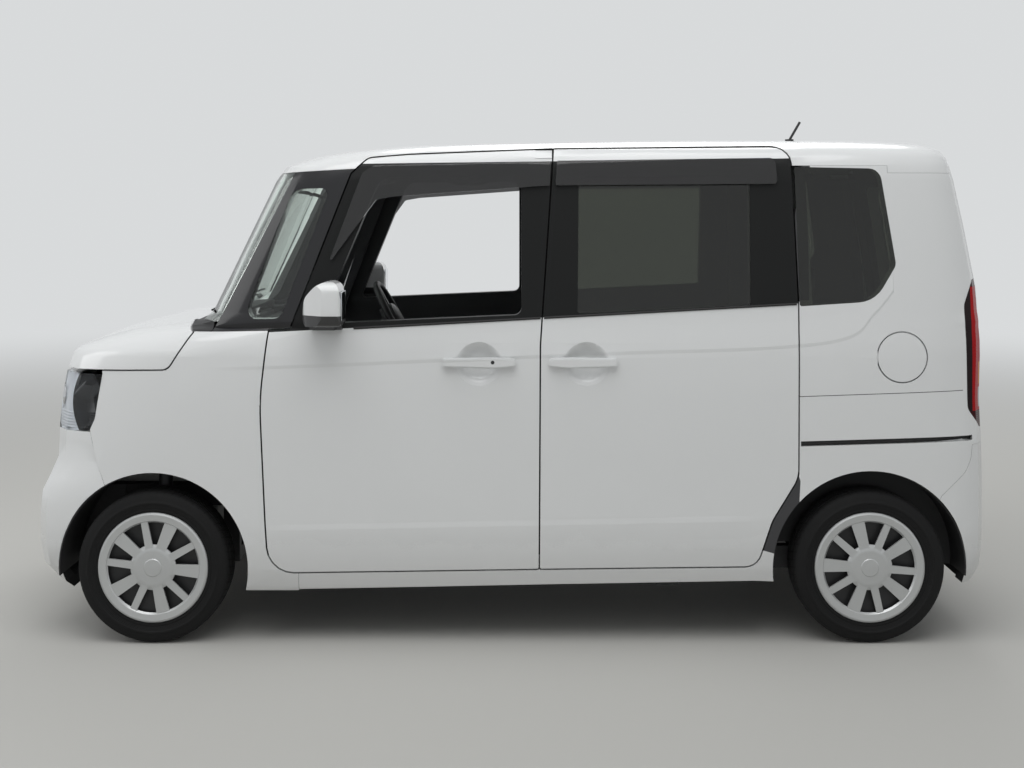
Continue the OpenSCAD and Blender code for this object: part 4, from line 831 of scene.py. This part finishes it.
# Each row: name, pad, voxel size, seams as (axis, level, facing), solids it stands for
front_pads = (
    ("front_cushion", front_cushion, 0.008,
     ((1, 0.215, UP), (1, 0.471, UP), (0, 0.19, UP), (0, 0.05, UP)), ("front_seats",)),
    ("front_back", front_back, 0.008,
     ((1, 0.215, FORWARD), (1, 0.471, FORWARD), (2, 0.74, FORWARD), (2, 0.88, FORWARD), (2, 1.02, FORWARD)), ()),
    ("front_head_rest", front_rest, 0.007, ((1, 0.285, FORWARD), (1, 0.405, FORWARD)), ()))
for pad_name, pad, voxel, seams, nodes in front_pads:
    pad = upholster(pad, voxel, seams)
    twin = mirrored(pad, pad_name + "_right")
    for piece, hand in ((pad, "left"), (twin, "right")):
        fit(piece, f"{pad_name}_{hand}", seat_cloth, "body", angle=180.0)
        if nodes and hand == "left":
            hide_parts(*nodes)
rear_cushion = soft_block((-1.035, -0.508, 0.54), (-0.592, 0.508, 0.615), 0.03)
rear_back = lean(soft_block((-1.027, -0.508, 0.585), (-0.922, 0.508, 1.105), 0.032), (-0.98, 0, 0.56), LEAN)
rear_rest = lean(soft_block((-1.148, 0.198, 1.165), (-1.075, 0.402, 1.318), 0.03), (-1.11, 0, 1.24), REST_LEAN)
rear_pads = (
    ("rear_cushion", rear_cushion, 0.011,
     ((1, 0.0, UP), (1, 0.25, UP), (1, -0.25, UP), (0, -0.72, UP)), ("rear_seat",)),
    ("rear_back", rear_back, 0.011,
     ((1, 0.0, FORWARD), (1, 0.25, FORWARD), (1, -0.25, FORWARD), (2, 0.86, FORWARD)), ()),
    ("rear_head_rest_left", rear_rest, 0.007, ((1, 0.25, FORWARD), (1, 0.35, FORWARD)), ()))
for pad_name, pad, voxel, seams, nodes in rear_pads:
    pad = fit(upholster(pad, voxel, seams), pad_name, seat_cloth, "body", angle=180.0)
    if nodes:
        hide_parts(*nodes)
rear_rest_right = fit(mirrored(pad, "rear_head_rest_right"), "rear_head_rest_right", seat_cloth, "body",
                      angle=180.0)
bases = []
posts = []
for side in (1, -1):
    edges = sorted((0.13 * side, 0.56 * side))
    tray = soft_block((-0.10, edges[0], 0.395), (0.30, edges[1], 0.43), 0.012)
    bases.append(sink_face(tray, (0, 0, -1), 0.02, 0.006))
    for rail_y in (0.15, 0.54):
        edges = sorted(((rail_y - 0.012) * side, (rail_y + 0.012) * side))
        runner = soft_block((-0.10, edges[0], 0.305), (0.28, edges[1], 0.40), 0.004)
        bases.append(sink_face(runner, (0, -1, 0), 0.02, 0.004))
    for post_x, post_y in ((-0.185, 0.29), (-0.185, 0.40), (-1.095, 0.25), (-1.095, 0.35)):
        posts.append(rod([(post_x, post_y * side, 1.06), (post_x - 0.007, post_y * side, 1.12),
                          (post_x - 0.015, post_y * side, 1.19)], 0.006))
bases.append(sink_face(soft_block((-1.02, -0.49, 0.50), (-0.62, 0.49, 0.545), 0.01), (0, 0, -1), 0.03, 0.004))
fit(join(bases), "seat_bases", cabin_plastic, "body")
fit(join(posts), "head_rest_posts", bright_trim, "body")

# Seat belts: woven webbing that hangs from an anchor on each middle pillar to a reel in its foot, with a
# moulded guide at the top.
webbing = new_finish("webbing", (0.03, 0.03, 0.031), 0.85, grain=0.0015, tone=0.25, depth=0.0003)
for side, hand in ((1, "left"), (-1, "right")):
    belt_y = 0.585 * side
    strap_edges = sorted((belt_y, belt_y + 0.0016 * side))
    strap = soft_block((-0.150, strap_edges[0], 0.62), (-0.102, strap_edges[1], 1.40), 0.0005, 2)
    guide_edges = sorted((belt_y - 0.006 * side, belt_y + 0.03 * side))
    guide = soft_block((-0.160, guide_edges[0], 1.385), (-0.092, guide_edges[1], 1.43), 0.006)
    fit(join([sink_face(strap, (0, -side, 0), 0.004, 0.0003), guide]), "seat_belt_" + hand, webbing, "body")

# Wheels: rubber tyres with four road grooves, cut sipes and ribbed side walls, on black painted steel
# wheels under silver painted plastic covers that clip to the rim.
AXLE_X, AXLE_Z, MIDDLE_X = 1.26, 0.268, -0.0095
tyre_rubber = new_finish("tyre_rubber", (0.0065, 0.0065, 0.0067), 0.78, grain=0.002, tone=0.25,
                         Specular_IOR_Level=0.3)
rubber_tree = tyre_rubber.node_tree
_, (rubber_x, rubber_y, rubber_z) = position(tyre_rubber)
from_middle = reckon(rubber_tree, "ABSOLUTE", reckon(rubber_tree, "SUBTRACT", rubber_x, MIDDLE_X))
from_axle = reckon(rubber_tree, "SUBTRACT", from_middle, AXLE_X)
over_axle = reckon(rubber_tree, "SUBTRACT", rubber_z, AXLE_Z)
turn_angle = reckon(rubber_tree, "ARCTAN2", over_axle, from_axle)
tread_radius = reckon(rubber_tree, "SQRT", reckon(
    rubber_tree, "ADD", reckon(rubber_tree, "MULTIPLY", from_axle, from_axle),
    reckon(rubber_tree, "MULTIPLY", over_axle, over_axle)))
sipe_wave = reckon(rubber_tree, "SINE", reckon(rubber_tree, "MULTIPLY_ADD", rubber_y, 55.0,
                                               reckon(rubber_tree, "MULTIPLY", turn_angle, 62.0)))
sipes = reckon(rubber_tree, "MULTIPLY", reckon(rubber_tree, "GREATER_THAN", sipe_wave, 0.86),
               reckon(rubber_tree, "GREATER_THAN", tread_radius, 0.2595))
ring_wave = reckon(rubber_tree, "SINE", reckon(rubber_tree, "MULTIPLY", tread_radius, 1500.0))
side_rings = reckon(rubber_tree, "MULTIPLY", ring_wave, between(rubber_tree, tread_radius, 0.206, 0.222))
tread_height = reckon(rubber_tree, "SUBTRACT", reckon(rubber_tree, "MULTIPLY", side_rings, 0.15), sipes)
tread_bump = add_node(rubber_tree, "ShaderNodeBump", None, Distance=0.003, Height=tread_height)
rubber_tree.links.new(tread_bump.outputs[0], rubber_tree.nodes["Principled BSDF"].inputs["Normal"])
# Painted shade in the cuts: the sipes take flat, slightly darker rubber
overlay(tyre_rubber, sipes, (0.006, 0.006, 0.006), 0.9)
# Half of the tyre's section from the middle of the tread to the bead, as (across, radius)
half_profile = [
    (0.0, 0.2676), (0.0055, 0.2676), (0.0062, 0.2618), (0.0138, 0.2618), (0.0145, 0.2674), (0.0335, 0.2672),
    (0.0342, 0.2614), (0.0408, 0.2614), (0.0415, 0.2667), (0.0555, 0.2655), (0.0625, 0.2625), (0.0675, 0.2570),
    (0.0705, 0.2500), (0.0738, 0.2400), (0.0752, 0.2315), (0.0768, 0.2300), (0.0768, 0.2255), (0.0754, 0.2240),
    (0.0738, 0.2150), (0.0710, 0.2055), (0.0722, 0.2045), (0.0722, 0.2010), (0.0702, 0.2000), (0.0680, 0.1930),
    (0.0640, 0.1885), (0.0610, 0.1860), (0.0585, 0.1786)]
tyre_profile = [(-along, radius) for along, radius in reversed(half_profile)] + half_profile[1:]
tyre_profile.append(tyre_profile[0])
wheel_steel = new_finish("wheel_steel", (0.018, 0.018, 0.019), 0.45, grain=0.003, tone=0.2, depth=0.0001)
cover_silver = new_finish("cover_silver", (0.53, 0.54, 0.54), 0.32, grain=0.0006, tone=0.08, Metallic=0.45,
                          Coat_Weight=0.4)
for corner in ("front_left", "front_right", "rear_left", "rear_right"):
    low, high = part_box("tyre_" + corner)
    hub = [(a + b) / 2 for a, b in zip(low, high)]
    outward = 1 if hub[1] > 0 else -1
    tyre = turned(tyre_profile, hub, (0, outward, 0), 96)
    fit(tyre, "road_tyre_" + corner, tyre_rubber, "road_wheel_" + corner, angle=40.0)
    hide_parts("tyre_" + corner)
    finish_nodes(wheel_steel, "wheel_" + corner)
    finish_nodes(cover_silver, "cover_" + corner)
